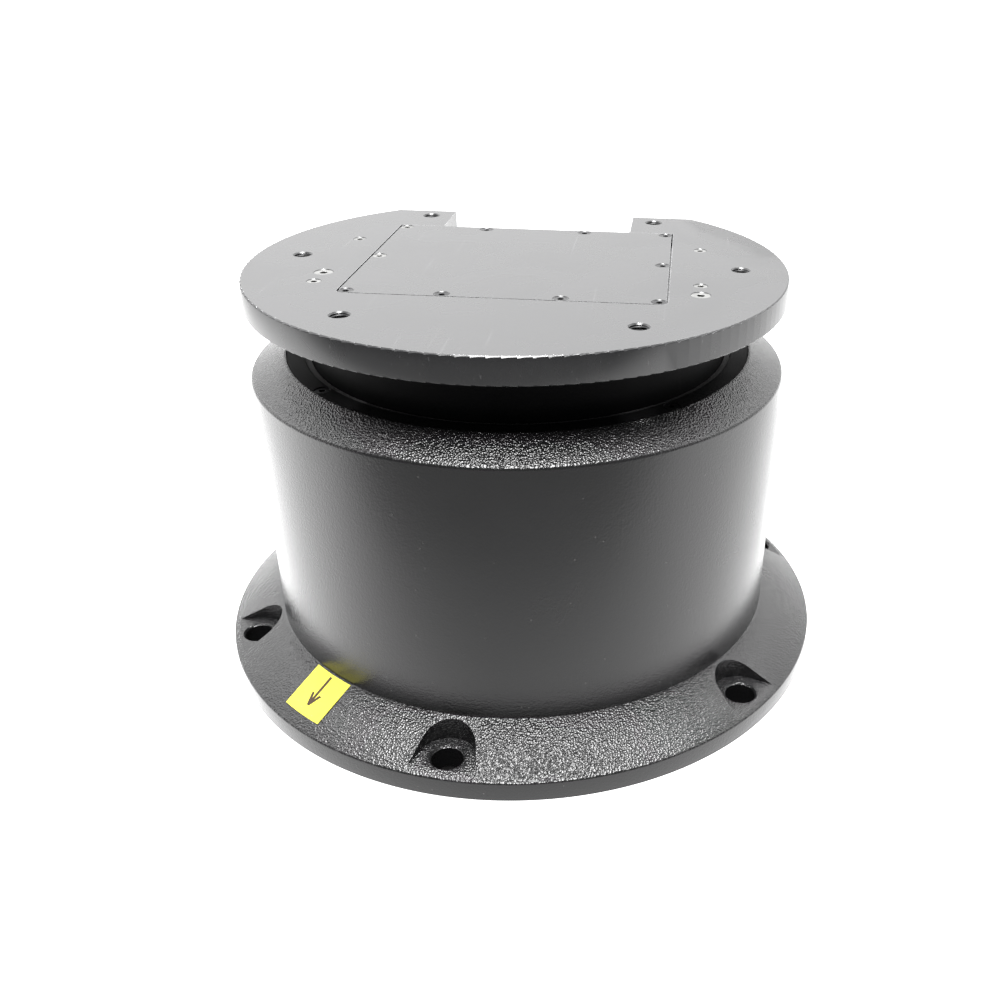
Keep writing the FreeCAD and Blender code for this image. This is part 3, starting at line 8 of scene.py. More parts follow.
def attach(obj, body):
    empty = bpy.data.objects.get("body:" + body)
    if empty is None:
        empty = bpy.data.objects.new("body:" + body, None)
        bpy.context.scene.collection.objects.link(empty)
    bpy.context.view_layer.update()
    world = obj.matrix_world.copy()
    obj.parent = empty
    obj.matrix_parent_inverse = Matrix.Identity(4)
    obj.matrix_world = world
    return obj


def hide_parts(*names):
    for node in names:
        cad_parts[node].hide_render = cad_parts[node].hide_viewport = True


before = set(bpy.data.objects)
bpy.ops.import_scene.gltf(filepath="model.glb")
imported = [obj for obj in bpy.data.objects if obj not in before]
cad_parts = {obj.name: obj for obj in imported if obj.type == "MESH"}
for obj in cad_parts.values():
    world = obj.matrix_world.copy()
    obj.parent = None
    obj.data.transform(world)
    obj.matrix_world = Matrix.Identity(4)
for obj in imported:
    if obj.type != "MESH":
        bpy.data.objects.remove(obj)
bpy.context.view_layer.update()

MM = 0.001
scene = bpy.context.scene

# ==========================================================
# Camera. Stands a little to the right of the object's front and looks down on it.
# ==========================================================
CAMERA_PLACE = Vector((73.85, -485.15, 326.62)) * MM
CAMERA_HEADING = math.radians(-4.014)      # from +Y towards +X
CAMERA_PITCH = math.radians(28.158)        # below the horizon
CAMERA_ROLL = math.radians(0.959)
CAMERA_LENS = 38.236
CAMERA_SHIFT = -0.1

forward = Vector((math.sin(CAMERA_HEADING) * math.cos(CAMERA_PITCH),
        math.cos(CAMERA_HEADING) * math.cos(CAMERA_PITCH), -math.sin(CAMERA_PITCH)))
level_right = forward.cross(Vector((0, 0, 1))).normalized()
level_up = level_right.cross(forward)
right = level_right * math.cos(CAMERA_ROLL) + level_up * math.sin(CAMERA_ROLL)
up = level_up * math.cos(CAMERA_ROLL) - level_right * math.sin(CAMERA_ROLL)
turn = Matrix((right, up, -forward)).transposed().to_4x4()
camera = bpy.data.objects.new("camera", bpy.data.cameras.new("camera"))
camera.matrix_world = Matrix.Translation(CAMERA_PLACE) @ turn
camera.data.sensor_width = 36
camera.data.lens = CAMERA_LENS
camera.data.shift_x = CAMERA_SHIFT
camera.data.clip_start = 0.01
scene.collection.objects.link(camera)
scene.camera = camera

# ==========================================================
# Studio. A pale light table under a soft tent: both are brightest behind the object and weaker
# where the camera stands. One soft panel hangs straight overhead.
# ==========================================================


def place(tree, kind, inputs=None, **settings):
    """Add a node; each input is a value or the socket that feeds it."""
    made = tree.nodes.new(kind)
    for key, value in settings.items():
        setattr(made, key, value)
    for name, value in (inputs or {}).items():
        socket = made.inputs[name]
        if isinstance(value, bpy.types.NodeSocket):
            tree.links.new(value, socket)
        else:
            socket.default_value = value
    return made


def math_node(tree, operation, first, second=0.0):
    return place(tree, "ShaderNodeMath", {0: first, 1: second}, operation=operation).outputs[0]


def times(tree, first, second):
    return math_node(tree, "MULTIPLY", first, second)


def plus(tree, first, second):
    return math_node(tree, "ADD", first, second)


def minus(tree, first, second):
    return math_node(tree, "SUBTRACT", first, second)


def over(tree, first, second):
    return math_node(tree, "DIVIDE", first, second)


def remap(tree, value, low, high, new_low=0.0, new_high=1.0, steps="LINEAR"):
    ranges = {"Value": value, "From Min": low, "From Max": high, "To Min": new_low, "To Max": new_high}
    return place(tree, "ShaderNodeMapRange", ranges, interpolation_type=steps).outputs[0]


def object_place(tree):
    return place(tree, "ShaderNodeTexCoord").outputs["Object"]


def parts_of(tree, vector):
    return place(tree, "ShaderNodeSeparateXYZ", {0: vector}).outputs


TENT_FRONT = 0.35
TENT_LOW = 1.5
TENT_HIGH = 3.7
TENT_LEFT = 0.94
TENT_RIGHT = 0.80
world = bpy.data.worlds.new("tent")
world.use_nodes = True
scene.world = world
tent = world.node_tree
tent.nodes.clear()
direction = place(tent, "ShaderNodeTexCoord").outputs["Generated"]
along = place(tent, "ShaderNodeSeparateXYZ", {0: direction})
behind = remap(tent, along.outputs["Y"], -0.5, 0.35, steps="SMOOTHSTEP")
raised = remap(tent, along.outputs["Z"], 0.22, 0.5, TENT_LOW, TENT_LOW + TENT_HIGH, "SMOOTHSTEP")
sideways = remap(tent, along.outputs["X"], -0.35, 0.35, TENT_LEFT, TENT_RIGHT)
lit = times(tent, times(tent, behind, raised), sideways)
strength = plus(tent, lit, TENT_FRONT)
glow = place(tent, "ShaderNodeBackground", {"Color": (1, 1, 1, 1), "Strength": strength})
place(tent, "ShaderNodeOutputWorld", {"Surface": glow.outputs[0]})

panel_light = bpy.data.lights.new("overhead", "AREA")
panel_light.shape = "RECTANGLE"
panel_light.size = 0.6
panel_light.size_y = 1.2
panel_light.energy = 112
overhead = bpy.data.objects.new("overhead", panel_light)
overhead.location = (0.0, -0.35, 1.5)
scene.collection.objects.link(overhead)

scene.view_settings.view_transform = "Standard"
scene.view_settings.look = "None"

FLOOR_REACH = 30.0
PAINTED_SHADOW_RADIUS = 0.1505     # the part of the table that the flange stands on; inside it the table is painted black and gets no glow, a painted shadow
floor_mesh = bpy.data.meshes.new("floor")
floor_mesh.from_pydata([(-FLOOR_REACH, -FLOOR_REACH, 0), (FLOOR_REACH, -FLOOR_REACH, 0),
        (FLOOR_REACH, FLOOR_REACH, 0), (-FLOOR_REACH, FLOOR_REACH, 0)], [], [(0, 1, 2, 3)])
floor = bpy.data.objects.new("floor", floor_mesh)
floor.location.z = -0.0002
scene.collection.objects.link(floor)
floor_paint = bpy.data.materials.new("floor_paint")
floor_paint.use_nodes = True
floor_shader = floor_paint.node_tree.nodes["Principled BSDF"]
floor_shader.inputs["Roughness"].default_value = 0.9
floor_shader.inputs["Specular IOR Level"].default_value = 0.1
table = floor_paint.node_tree
floor_place = parts_of(table, object_place(table))
near_glow = remap(table, floor_place["Y"], -0.37, -0.22)
aside = times(table, math_node(table, "ABSOLUTE", floor_place["X"]), 0.35)
outward = plus(table, floor_place["Y"], aside)
far_glow = remap(table, outward, -0.24, 0.0, 0.0, 1.9, "SMOOTHSTEP")
left_share = remap(table, floor_place["X"], -0.2, 0.2, 1.35, 0.85)
rear_share = remap(table, floor_place["Y"], 0.0, 0.25, 1.0, 0.5)
side_share = times(table, left_share, rear_share)
flat_place = place(table, "ShaderNodeCombineXYZ", {"X": floor_place["X"], "Y": floor_place["Y"]})
from_axis = place(table, "ShaderNodeVectorMath", {0: flat_place.outputs[0]},
    operation="LENGTH").outputs["Value"]
# Under the flange the floor's glow and colour drop to black: a painted shadow, so the bolt holes look dark.
outside_painted_shadow = math_node(table, "GREATER_THAN", from_axis, PAINTED_SHADOW_RADIUS)
table_glow = plus(table, near_glow, times(table, far_glow, side_share))
floor_glow = times(table, table_glow, outside_painted_shadow)
floor_grey = times(table, outside_painted_shadow, 0.15)
table.links.new(floor_grey, floor_shader.inputs["Base Color"])
floor_shader.inputs["Emission Color"].default_value = (1, 1, 1, 1)
table.links.new(floor_glow, floor_shader.inputs["Emission Strength"])
floor_mesh.materials.append(floor_paint)

# ==========================================================
# Flange. Cast aluminium ring with a conical top and six bolt pockets milled into it; the whole
# outside is sprayed with satin black powder coat. The drum is screwed down on its inner edge.
# ==========================================================


FLOAT = "NodeSocketFloat"
INTEGER = "NodeSocketInt"
GEOMETRY = "NodeSocketGeometry"
MATERIAL = "NodeSocketMaterial"


def new_group(name, kind, inputs, outputs):
    """Node group; an input is given by its default value, or by its socket type if it has none."""
    group = bpy.data.node_groups.new(name, kind)
    for socket_name, given in inputs.items():
        plain = INTEGER if isinstance(given, int) else FLOAT
        socket_type = given if isinstance(given, str) else plain
        socket = group.interface.new_socket(name=socket_name, in_out="INPUT", socket_type=socket_type)
        if socket_type != given:
            socket.default_value = given
    for socket_name in outputs:
        socket_type = FLOAT if kind == "ShaderNodeTree" else GEOMETRY
        group.interface.new_socket(name=socket_name, in_out="OUTPUT", socket_type=socket_type)
    entry = group.nodes.new("NodeGroupInput")
    exit_node = group.nodes.new("NodeGroupOutput")
    return group, entry.outputs, exit_node


def mix_colour(tree, factor, first, second):
    made = place(tree, "ShaderNodeMix", {"Factor": factor}, data_type="RGBA")
    for index, value in ((6, first), (7, second)):
        if isinstance(value, bpy.types.NodeSocket):
            tree.links.new(value, made.inputs[index])
        else:
            made.inputs[index].default_value = (*value, 1)
    return made.outputs[2]


def noise(tree, vector, scale, detail, **more):
    inputs = {"Vector": vector, "Scale": scale, "Detail": detail, **more}
    return place(tree, "ShaderNodeTexNoise", inputs).outputs["Fac"]


def build_edge_wear():
    """Mask of rubbed edges: where the surface turns within Width, broken up by patches."""
    group, given, leave = new_group("edge wear", "ShaderNodeTree",
        {"Width": 0.0006, "Patch Size": 0.004, "Amount": 0.5}, ["Mask"])
    coordinates = object_place(group)
    rounded = place(group, "ShaderNodeBevel", {"Radius": given["Width"]}, samples=6).outputs[0]
    facing = place(group, "ShaderNodeNewGeometry").outputs["Normal"]
    same = place(group, "ShaderNodeVectorMath", {0: rounded, 1: facing},
        operation="DOT_PRODUCT").outputs["Value"]
    edge = remap(group, same, 0.99, 0.80)
    scale = over(group, 1.0, given["Patch Size"])
    patches = noise(group, coordinates, scale, 5.0, Roughness=0.65)
    threshold = minus(group, 0.85, times(group, given["Amount"], 0.6))
    broken = remap(group, times(group, edge, patches), times(group, threshold, 0.7), threshold)
    group.links.new(broken, leave.inputs["Mask"])
    return group


def build_powder_grain():
    """Surface of sprayed powder coat: a soft orange peel with separate grains on it."""
    group, given, leave = new_group("powder grain", "ShaderNodeTree",
        {"Peel Size": 0.0012, "Grain Size": 0.0004, "Grain Share": 0.35}, ["Height"])
    coordinates = object_place(group)
    peel_scale = over(group, 1.0, given["Peel Size"])
    peel = noise(group, coordinates, peel_scale, 0.0)
    grain_scale = over(group, 1.0, given["Grain Size"])
    grain = place(group, "ShaderNodeTexVoronoi",
        {"Vector": coordinates, "Scale": grain_scale}).outputs["Distance"]
    fine = times(group, grain, given["Grain Share"])
    group.links.new(plus(group, peel, fine), leave.inputs["Height"])
    return group


def build_handling():
    """Marks of use: soft smears, dust specks and fine scratches, each as its own mask."""
    group, given, leave = new_group("handling marks", "ShaderNodeTree",
        {"Smear Size": 0.04, "Speck Size": 0.0012, "Speck Amount": 0.3}, ["Smears", "Specks", "Scratches"])
    coordinates = object_place(group)
    smear_scale = over(group, 1.0, given["Smear Size"])
    smears = noise(group, coordinates, smear_scale, 4.0, Roughness=0.6, Distortion=0.6)
    speck_scale = over(group, 1.0, given["Speck Size"])
    cells = place(group, "ShaderNodeTexVoronoi", {"Vector": coordinates, "Scale": speck_scale})
    dot = remap(group, cells.outputs["Distance"], 0.28, 0.10)
    chance = place(group, "ShaderNodeSeparateColor", {0: cells.outputs["Color"]}).outputs[0]
    chosen = math_node(group, "GREATER_THAN", chance,
        minus(group, 1.0, times(group, given["Speck Amount"], 0.1)))
    stretched = place(group, "ShaderNodeMapping",
        {"Vector": coordinates, "Rotation": (0, 0, 0.7), "Scale": (900, 12, 300)}).outputs[0]
    lines = noise(group, stretched, 1.0, 2.0)
    group.links.new(remap(group, smears, 0.35, 0.7), leave.inputs["Smears"])
    group.links.new(times(group, dot, chosen), leave.inputs["Specks"])
    group.links.new(remap(group, lines, 0.68, 0.78), leave.inputs["Scratches"])
    return group


EDGE_WEAR = build_edge_wear()
POWDER_GRAIN = build_powder_grain()
HANDLING = build_handling()


def new_material(name):
    material = bpy.data.materials.new(name)
    material.use_nodes = True
    tree = material.node_tree
    return material, tree, tree.nodes["Principled BSDF"]


def use_group(tree, group, **values):
    made = tree.nodes.new("ShaderNodeGroup")
    made.node_tree = group
    for name, value in values.items():
        made.inputs[name.replace("_", " ")].default_value = value
    return made.outputs


def handled(tree, smear, speck, amount):
    return use_group(tree, HANDLING, Smear_Size=smear, Speck_Size=speck, Speck_Amount=amount)


def grained(tree, peel, grain, share):
    return use_group(tree, POWDER_GRAIN, Peel_Size=peel, Grain_Size=grain, Grain_Share=share)


def rubbed_edges(tree, width, patch, amount):
    return use_group(tree, EDGE_WEAR, Width=width, Patch_Size=patch, Amount=amount)


def paint(tree, shader, colour):
    tree.links.new(colour, shader.inputs["Base Color"])


def vary_roughness(tree, shader, mask, low, high):
    tree.links.new(remap(tree, mask, 0, 1, low, high), shader.inputs["Roughness"])


def add_relief(tree, shader, height, depth, strength):
    bump = place(tree, "ShaderNodeBump", {"Height": height, "Distance": depth, "Strength": strength})
    tree.links.new(bump.outputs[0], shader.inputs["Normal"])


def powder_coat():
    material, tree, shader = new_material("black_powder_coat")
    marks = handled(tree, 0.06, 0.0016, 0.10)
    wear = rubbed_edges(tree, 0.0007, 0.003, 0.35)
    grain = grained(tree, 0.0013, 0.0009, 1.8)
    coat = mix_colour(tree, marks["Smears"], (0.0040, 0.0040, 0.0042), (0.0055, 0.0055, 0.0058))
    dusty = mix_colour(tree, marks["Specks"], coat, (0.05, 0.05, 0.048))
    rubbed = mix_colour(tree, wear["Mask"], dusty, (0.05, 0.05, 0.05))
    paint(tree, shader, rubbed)
    vary_roughness(tree, shader, marks["Smears"], 0.22, 0.28)
    shader.inputs["IOR"].default_value = 1.42
    height = parts_of(tree, object_place(tree))["Z"]
    below_crest = remap(tree, height, CONE_CREST + 0.001, CONE_CREST - 0.001)
    on_cone = times(tree, below_crest, remap(tree, height, CONE_FOOT - 0.0006, CONE_FOOT + 0.0006))
    on_shoulder = remap(tree, height, SHOULDER_FOOT - 0.001, SHOULDER_FOOT + 0.001)
    sloped = plus(tree, on_cone, on_shoulder)
    add_relief(tree, shader, grain["Height"], COAT_GRAIN, remap(tree, sloped, 0, 1, WALL_GRAIN, 1))
    return material


CONE_FOOT = 0.0096
CONE_CREST = 0.0233
SHOULDER_FOOT = 0.145
COAT_GRAIN = 0.00016
WALL_GRAIN = 0.16           # powder lies flatter on upright walls than on sloping faces
POWDER_COAT = powder_coat()


def moved(group, shape, **by):
    offset = place(group, "ShaderNodeCombineXYZ", by).outputs[0]
    return place(group, "GeometryNodeTransform", {"Geometry": shape, "Translation": offset}).outputs[0]


def joined(group, *shapes):
    join = place(group, "GeometryNodeJoinGeometry")
    for shape in shapes:
        group.links.new(shape, join.inputs[0])
    return join.outputs[0]


def less(group, shape, cutter):
    return place(group, "GeometryNodeMeshBoolean", {"Mesh 1": shape, "Mesh 2": cutter},
        operation="DIFFERENCE", solver="EXACT").outputs["Mesh"]


def hand_over(group, given, leave, shape):
    """End a Geometry Nodes group: real geometry, in the material it was given."""
    realised = place(group, "GeometryNodeRealizeInstances", {0: shape}).outputs[0]
    covered = place(group, "GeometryNodeSetMaterial", {"Geometry": realised, "Material": given["Material"]})
    group.links.new(covered.outputs[0], leave.inputs["Geometry"])
    return group


def build_turned_piece():
    """Geometry Nodes lathe: the profile's points (radius in X, height in Z) swept once round Z."""
    group, given, leave = new_group("turned piece", "GeometryNodeTree",
        {"Profile": GEOMETRY, "Segments": 192, "Material": MATERIAL}, ["Geometry"])
    profile = given["Profile"]
    count = place(group, "GeometryNodeAttributeDomainSize", {0: profile}).outputs["Point Count"]
    columns = plus(group, given["Segments"], 1)
    rows = plus(group, count, 1)
    grid = place(group, "GeometryNodeMeshGrid",
        {"Size X": 1.0, "Size Y": 1.0, "Vertices X": columns, "Vertices Y": rows}).outputs["Mesh"]
    where = place(group, "ShaderNodeSeparateXYZ", {0: place(group, "GeometryNodeInputPosition").outputs[0]})
    angle = times(group, plus(group, where.outputs["X"], 0.5), 2 * math.pi)
    step = math_node(group, "ROUND", times(group, plus(group, where.outputs["Y"], 0.5), count))
    index = math_node(group, "MODULO", step, count)
    point = place(group, "GeometryNodeSampleIndex", {"Geometry": profile, "Index": index},
        data_type="FLOAT_VECTOR")
    group.links.new(place(group, "GeometryNodeInputPosition").outputs[0], point.inputs["Value"])
    corner = place(group, "ShaderNodeSeparateXYZ", {0: point.outputs["Value"]})
    x = times(group, corner.outputs["X"], math_node(group, "COSINE", angle))
    y = times(group, corner.outputs["X"], math_node(group, "SINE", angle))
    spot = place(group, "ShaderNodeCombineXYZ", {"X": x, "Y": y, "Z": corner.outputs["Z"]}).outputs[0]
    swept = place(group, "GeometryNodeSetPosition", {"Geometry": grid, "Position": spot}).outputs[0]
    closed = place(group, "GeometryNodeMergeByDistance",
        {"Geometry": swept, "Distance": 0.000001}).outputs[0]
    return hand_over(group, given, leave, closed)


TURNED_PIECE = build_turned_piece()


def rounded_corners(corners, arc_steps=6):
    """Points in mm of a closed outline whose (u, v, fillet) corners are rounded by arcs."""
    points = []
    count = len(corners)
    for i in range(count):
        here = Vector(corners[i][:2])
        fillet = corners[i][2]
        into = (here - Vector(corners[i - 1][:2])).normalized()
        out = (Vector(corners[(i + 1) % count][:2]) - here).normalized()
        bend = into.angle(out)
        if fillet == 0 or bend < 0.001:
            points.append(here)
            continue
        start = here - into * fillet * math.tan(bend / 2)
        middle = here + (out - into).normalized() * fillet / math.cos(bend / 2)
        side = 1 if into.x * out.y - into.y * out.x > 0 else -1
        for k in range(arc_steps + 1):
            spin = Matrix.Rotation(side * bend * k / arc_steps, 2)
            points.append(middle + spin @ (start - middle))
    return points


def profile_mesh(name, corners):
    points = rounded_corners(corners)
    mesh = bpy.data.meshes.new(name)
    mesh.from_pydata([(p.x * MM, 0, p.y * MM) for p in points], [], [])
    return mesh


def tree_mesh(name, tree, base_mesh, material, values=None):
    """Evaluate a Geometry Nodes tree on a base mesh and keep its result as a plain mesh."""
    seed = bpy.data.objects.new(name + "_seed", base_mesh)
    scene.collection.objects.link(seed)
    modifier = seed.modifiers.new("make", "NODES")
    modifier.node_group = tree
    identifiers = {item.name: item.identifier for item in tree.interface.items_tree
        if item.item_type == "SOCKET" and item.in_out == "INPUT"}
    for socket_name, value in (values or {}).items():
        modifier[identifiers[socket_name]] = value
    modifier[identifiers["Material"]] = material
    bpy.context.view_layer.update()
    graph = bpy.context.evaluated_depsgraph_get()
    mesh = bpy.data.meshes.new_from_object(seed.evaluated_get(graph), depsgraph=graph)
    bpy.data.objects.remove(seed)
    return mesh


def finish_piece(name, meshes, material, sharp=32.0):
    """One plain object at the origin from finished meshes: normals outward, sharp edges kept."""
    work = bmesh.new()
    for mesh in meshes:
        work.from_mesh(mesh)
    bmesh.ops.remove_doubles(work, verts=work.verts, dist=0.000002)
    bmesh.ops.recalc_face_normals(work, faces=work.faces)
    whole = bpy.data.meshes.new(name)
    work.to_mesh(whole)
    work.free()
    whole.shade_smooth()
    whole.set_sharp_from_angle(angle=math.radians(sharp))
    whole.materials.append(material)
    made = bpy.data.objects.new(name, whole)
    scene.collection.objects.link(made)
    return made


def soften_edges(piece, width, angle=40.0, segments=2):
    """Break the sharp edges, as deburring and a coat of paint do."""
    bevel = piece.modifiers.new("edges", "BEVEL")
    bevel.width = width * MM
    bevel.segments = segments
    bevel.limit_method = "ANGLE"
    bevel.angle_limit = math.radians(angle)
    bevel.harden_normals = True
    bevel.miter_outer = "MITER_ARC"
    return piece


def fit(piece, body, finish, *nodes):
    """Say which body carries a piece and which CAD nodes it stands for; the finish argument is not used."""
    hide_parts(*nodes)
    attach(piece, body)


FLANGE_RADIUS = 152.0
RIM_HEIGHT = 9.6
BODY_RADIUS = 126.0
CAVITY_RADIUS = 117.0
CONE_TOP = 23.3
REBATE_RADIUS = 128.5
REBATE_TOP = 8.0
BOLT_CIRCLE = 140.0
BOLT_HOLE = 7.0
POCKET_RADIUS = 12.5
POCKET_FLOOR = 11.3
POCKET_FLARE = math.radians(15)
FLANGE_TURN = 24.0


def build_casting():
    """Turned drum with bolt pockets and holes cut at equal turns round the flange."""
    group, given, leave = new_group("housing casting", "GeometryNodeTree",
        {"Profile": GEOMETRY, "Segments": 288, "Pockets": 6, "First Turn": 0.0, "Bolt Circle": 0.14,
            "Bolt Hole": 0.007, "Pocket Radius": 0.0125, "Pocket Floor": 0.011, "Mouth Place": 0.157,
            "Mouth Width": 0.04, "Chamfer": 0.0008, "Material": MATERIAL}, ["Geometry"])
    drum = tree_group(group, TURNED_PIECE,
        {"Profile": given["Profile"], "Segments": given["Segments"], "Material": given["Material"]})
    depth = 0.03
    circle = given["Bolt Circle"]
    floor_level = given["Pocket Floor"]
    bowl = place(group, "GeometryNodeMeshCylinder",
        {"Vertices": 72, "Radius": given["Pocket Radius"], "Depth": depth}).outputs["Mesh"]
    pocket_middle = plus(group, floor_level, depth / 2)
    bowl = moved(group, bowl, X=circle, Z=pocket_middle)
    mouth_size = place(group, "ShaderNodeCombineXYZ", {"X": 0.002, "Y": given["Mouth Width"], "Z": depth})
    mouth = place(group, "GeometryNodeMeshCube", {"Size": mouth_size.outputs[0]}).outputs["Mesh"]
    mouth = moved(group, mouth, X=given["Mouth Place"], Z=pocket_middle)
    pocket = place(group, "GeometryNodeConvexHull", {0: joined(group, bowl, mouth)}).outputs[0]
    hole = place(group, "GeometryNodeMeshCylinder",
        {"Vertices": 64, "Radius": given["Bolt Hole"], "Depth": 0.06}).outputs["Mesh"]
    hole = moved(group, hole, X=circle, Z=0.01)
    chamfer = given["Chamfer"]
    wide = plus(group, given["Bolt Hole"], times(group, chamfer, 2))
    cone = place(group, "GeometryNodeMeshCone",
        {"Vertices": 64, "Radius Top": wide, "Radius Bottom": given["Bolt Hole"],
            "Depth": times(group, chamfer, 2)}).outputs["Mesh"]
    cone = moved(group, cone, X=circle, Z=minus(group, floor_level, chamfer))
    result = drum
    for cutter in (pocket, hole, cone):
        ring = cut_round_axis(group, cutter, given["Pockets"], given["First Turn"])
        result = less(group, result, ring)
    return hand_over(group, given, leave, result)


def tree_group(tree, group, inputs):
    """Use one Geometry Nodes group inside another; returns its first output."""
    made = tree.nodes.new("GeometryNodeGroup")
    made.node_tree = group
    for name, value in inputs.items():
        if isinstance(value, bpy.types.NodeSocket):
            tree.links.new(value, made.inputs[name])
        else:
            made.inputs[name].default_value = value
    return made.outputs[0]


def cut_round_axis(tree, shape, count, first_turn):
    """Copies of a shape at equal turns round Z, as real geometry."""
    points = place(tree, "GeometryNodePoints", {"Count": count}).outputs[0]
    index = place(tree, "GeometryNodeInputIndex").outputs[0]
    pitch = over(tree, 2 * math.pi, count)
    angle = plus(tree, times(tree, index, pitch), first_turn)
    rotation = place(tree, "ShaderNodeCombineXYZ", {"Z": angle}).outputs[0]
    copies = place(tree, "GeometryNodeInstanceOnPoints",
        {"Points": points, "Instance": shape, "Rotation": rotation})
    return place(tree, "GeometryNodeRealizeInstances", {0: copies.outputs[0]}).outputs[0]


flange_profile = profile_mesh("flange_profile",
    [(REBATE_RADIUS, 0, 0), (FLANGE_RADIUS, 0, 0.8), (FLANGE_RADIUS, RIM_HEIGHT, 1.2),
        (BODY_RADIUS, CONE_TOP, 0), (CAVITY_RADIUS, CONE_TOP, 0), (CAVITY_RADIUS, REBATE_TOP, 0),
        (REBATE_RADIUS, REBATE_TOP, 0)])
mouth_place = FLANGE_RADIUS + 5
flare_reach = mouth_place + 1 - BOLT_CIRCLE + POCKET_RADIUS * math.sin(POCKET_FLARE)
mouth_half = POCKET_RADIUS * math.cos(POCKET_FLARE) + math.tan(POCKET_FLARE) * flare_reach
flange_mesh = tree_mesh("flange", build_casting(), flange_profile, POWDER_COAT,
    {"Segments": 288, "Pockets": 6, "First Turn": math.radians(FLANGE_TURN),
        "Bolt Circle": BOLT_CIRCLE * MM, "Bolt Hole": BOLT_HOLE * MM, "Pocket Radius": POCKET_RADIUS * MM,
        "Pocket Floor": POCKET_FLOOR * MM, "Mouth Place": mouth_place * MM,
        "Mouth Width": 2 * mouth_half * MM, "Chamfer": 0.8 * MM})
flange = soften_edges(finish_piece("flange_casting", [flange_mesh], POWDER_COAT), 0.35)
fit(flange, "base", "black_powder_coat", "base_flange")

# ==========================================================
# Drum. Cast aluminium, turned at the shoulder and the mouth, with a raised pad for the supply
# connector and a small boss for the earth screw; powder coated with the flange.
# ==========================================================

DRUM_SHOULDER = 145.0
MOUTH_RADIUS = 110.4
MOUTH_BORE = 109.4
MOUTH_TOP = 153.0
BEARING_TOP = 139.0
PAD_CENTRE_Z = 39.3
PAD_HALF_WIDTH = 18.0
PAD_HALF_HEIGHT = 16.0
PAD_FACE = 129.5
PAD_CORNER = 4.0
EARTH_BOSS_RADIUS = 6.0
EARTH_BOSS_FACE = 127.5
EARTH_BOSS_TURN = -30.0


def raised_pad(points, start, face, edge, turn_degrees):
    """Pad on the drum's side: outline (across, up) in mm, from `start` out to its flat face."""
    centre = sum(points, Vector((0, 0))) / len(points)
    work = bmesh.new()
    loops = []
    for y, inset in ((start, 0), (face - edge, 0), (face - edge * 0.3, edge * 0.3), (face, edge)):
        loops.append([])
        for point in points:
            spot = point - (point - centre).normalized() * inset
            loops[-1].append(work.verts.new((spot.x * MM, y * MM, spot.y * MM)))
    for first, second in zip(loops, loops[1:]):
        for i in range(len(points)):
            work.faces.new((first[i - 1], first[i], second[i], second[i - 1]))
    work.faces.new(loops[0])
    work.faces.new(loops[-1])
    bmesh.ops.rotate(work, verts=work.verts, matrix=Matrix.Rotation(math.radians(turn_degrees), 3, "Z"))
    mesh = bpy.data.meshes.new("pad")
    work.to_mesh(mesh)
    work.free()
    return mesh


def turned_mesh(name, corners, material, segments=192):
    return tree_mesh(name, TURNED_PIECE, profile_mesh(name + "_profile", corners), material,
        {"Segments": segments})


drum_mesh = turned_mesh("drum",
    [(CAVITY_RADIUS, CONE_TOP, 0), (BODY_RADIUS, CONE_TOP, 0), (BODY_RADIUS, DRUM_SHOULDER, 2.0),
        (MOUTH_RADIUS, MOUTH_TOP, 0.5), (MOUTH_BORE, MOUTH_TOP, 0.3), (MOUTH_BORE, BEARING_TOP, 0),
        (CAVITY_RADIUS, BEARING_TOP, 0)], POWDER_COAT, 288)
pad_outline = rounded_corners([(-PAD_HALF_WIDTH, PAD_CENTRE_Z - PAD_HALF_HEIGHT, PAD_CORNER),
        (PAD_HALF_WIDTH, PAD_CENTRE_Z - PAD_HALF_HEIGHT, PAD_CORNER),
        (PAD_HALF_WIDTH, PAD_CENTRE_Z + PAD_HALF_HEIGHT, PAD_CORNER),
        (-PAD_HALF_WIDTH, PAD_CENTRE_Z + PAD_HALF_HEIGHT, PAD_CORNER)])
boss_outline = [Vector((EARTH_BOSS_RADIUS * math.cos(k * math.pi / 20),
        PAD_CENTRE_Z + EARTH_BOSS_RADIUS * math.sin(k * math.pi / 20))) for k in range(40)]
pads = [raised_pad(pad_outline, CAVITY_RADIUS + 3, PAD_FACE, 0.8, 0),
    raised_pad(boss_outline, CAVITY_RADIUS + 5, EARTH_BOSS_FACE, 0.6, EARTH_BOSS_TURN)]
drum = finish_piece("drum_casting", [drum_mesh, *pads], POWDER_COAT)
fit(drum, "base", "black_powder_coat", "housing")

# ==========================================================
# Top plate. Round aluminium plate with a rear flat and a notch, turned and milled, then black
# anodised; its rim is scuffed from handling. Six tapped holes take the sensor head's bolts.
# ==========================================================

THREAD_RADIUS = 4.15
THREAD_PITCH = 1.25
THREAD_TURNS = 8
THREAD_BOTTOM = 179.0
HEAD_BOLTS = [(-60, -85), (60, -85), (-60, 85), (60, 85), (-103, 0), (103, 0)]


def build_cutter_marks():
    """Fine rings that a lathe or a facing cutter leaves, with a faint bead-blasted grain."""
    group, given, leave = new_group("cutter marks", "ShaderNodeTree",
        {"Pitch": 0.0004, "Grain Size": 0.0003, "Grain Share": 0.5}, ["Height"])
    coordinates = object_place(group)
    flat = place(group, "ShaderNodeVectorMath", {0: coordinates, 1: (1, 1, 0)},
        operation="MULTIPLY").outputs[0]
    radius = place(group, "ShaderNodeVectorMath", {0: flat}, operation="LENGTH").outputs["Value"]
    along = over(group, radius, given["Pitch"])
    rings = place(group, "ShaderNodeTexNoise", {"W": along, "Scale": 1.0, "Detail": 2.0},
        noise_dimensions="1D").outputs["Fac"]
    scale = over(group, 1.0, given["Grain Size"])
    grain = noise(group, coordinates, scale, 1.0)
    shared = times(group, grain, given["Grain Share"])
    group.links.new(plus(group, rings, shared), leave.inputs["Height"])
    return group


CUTTER_MARKS = build_cutter_marks()


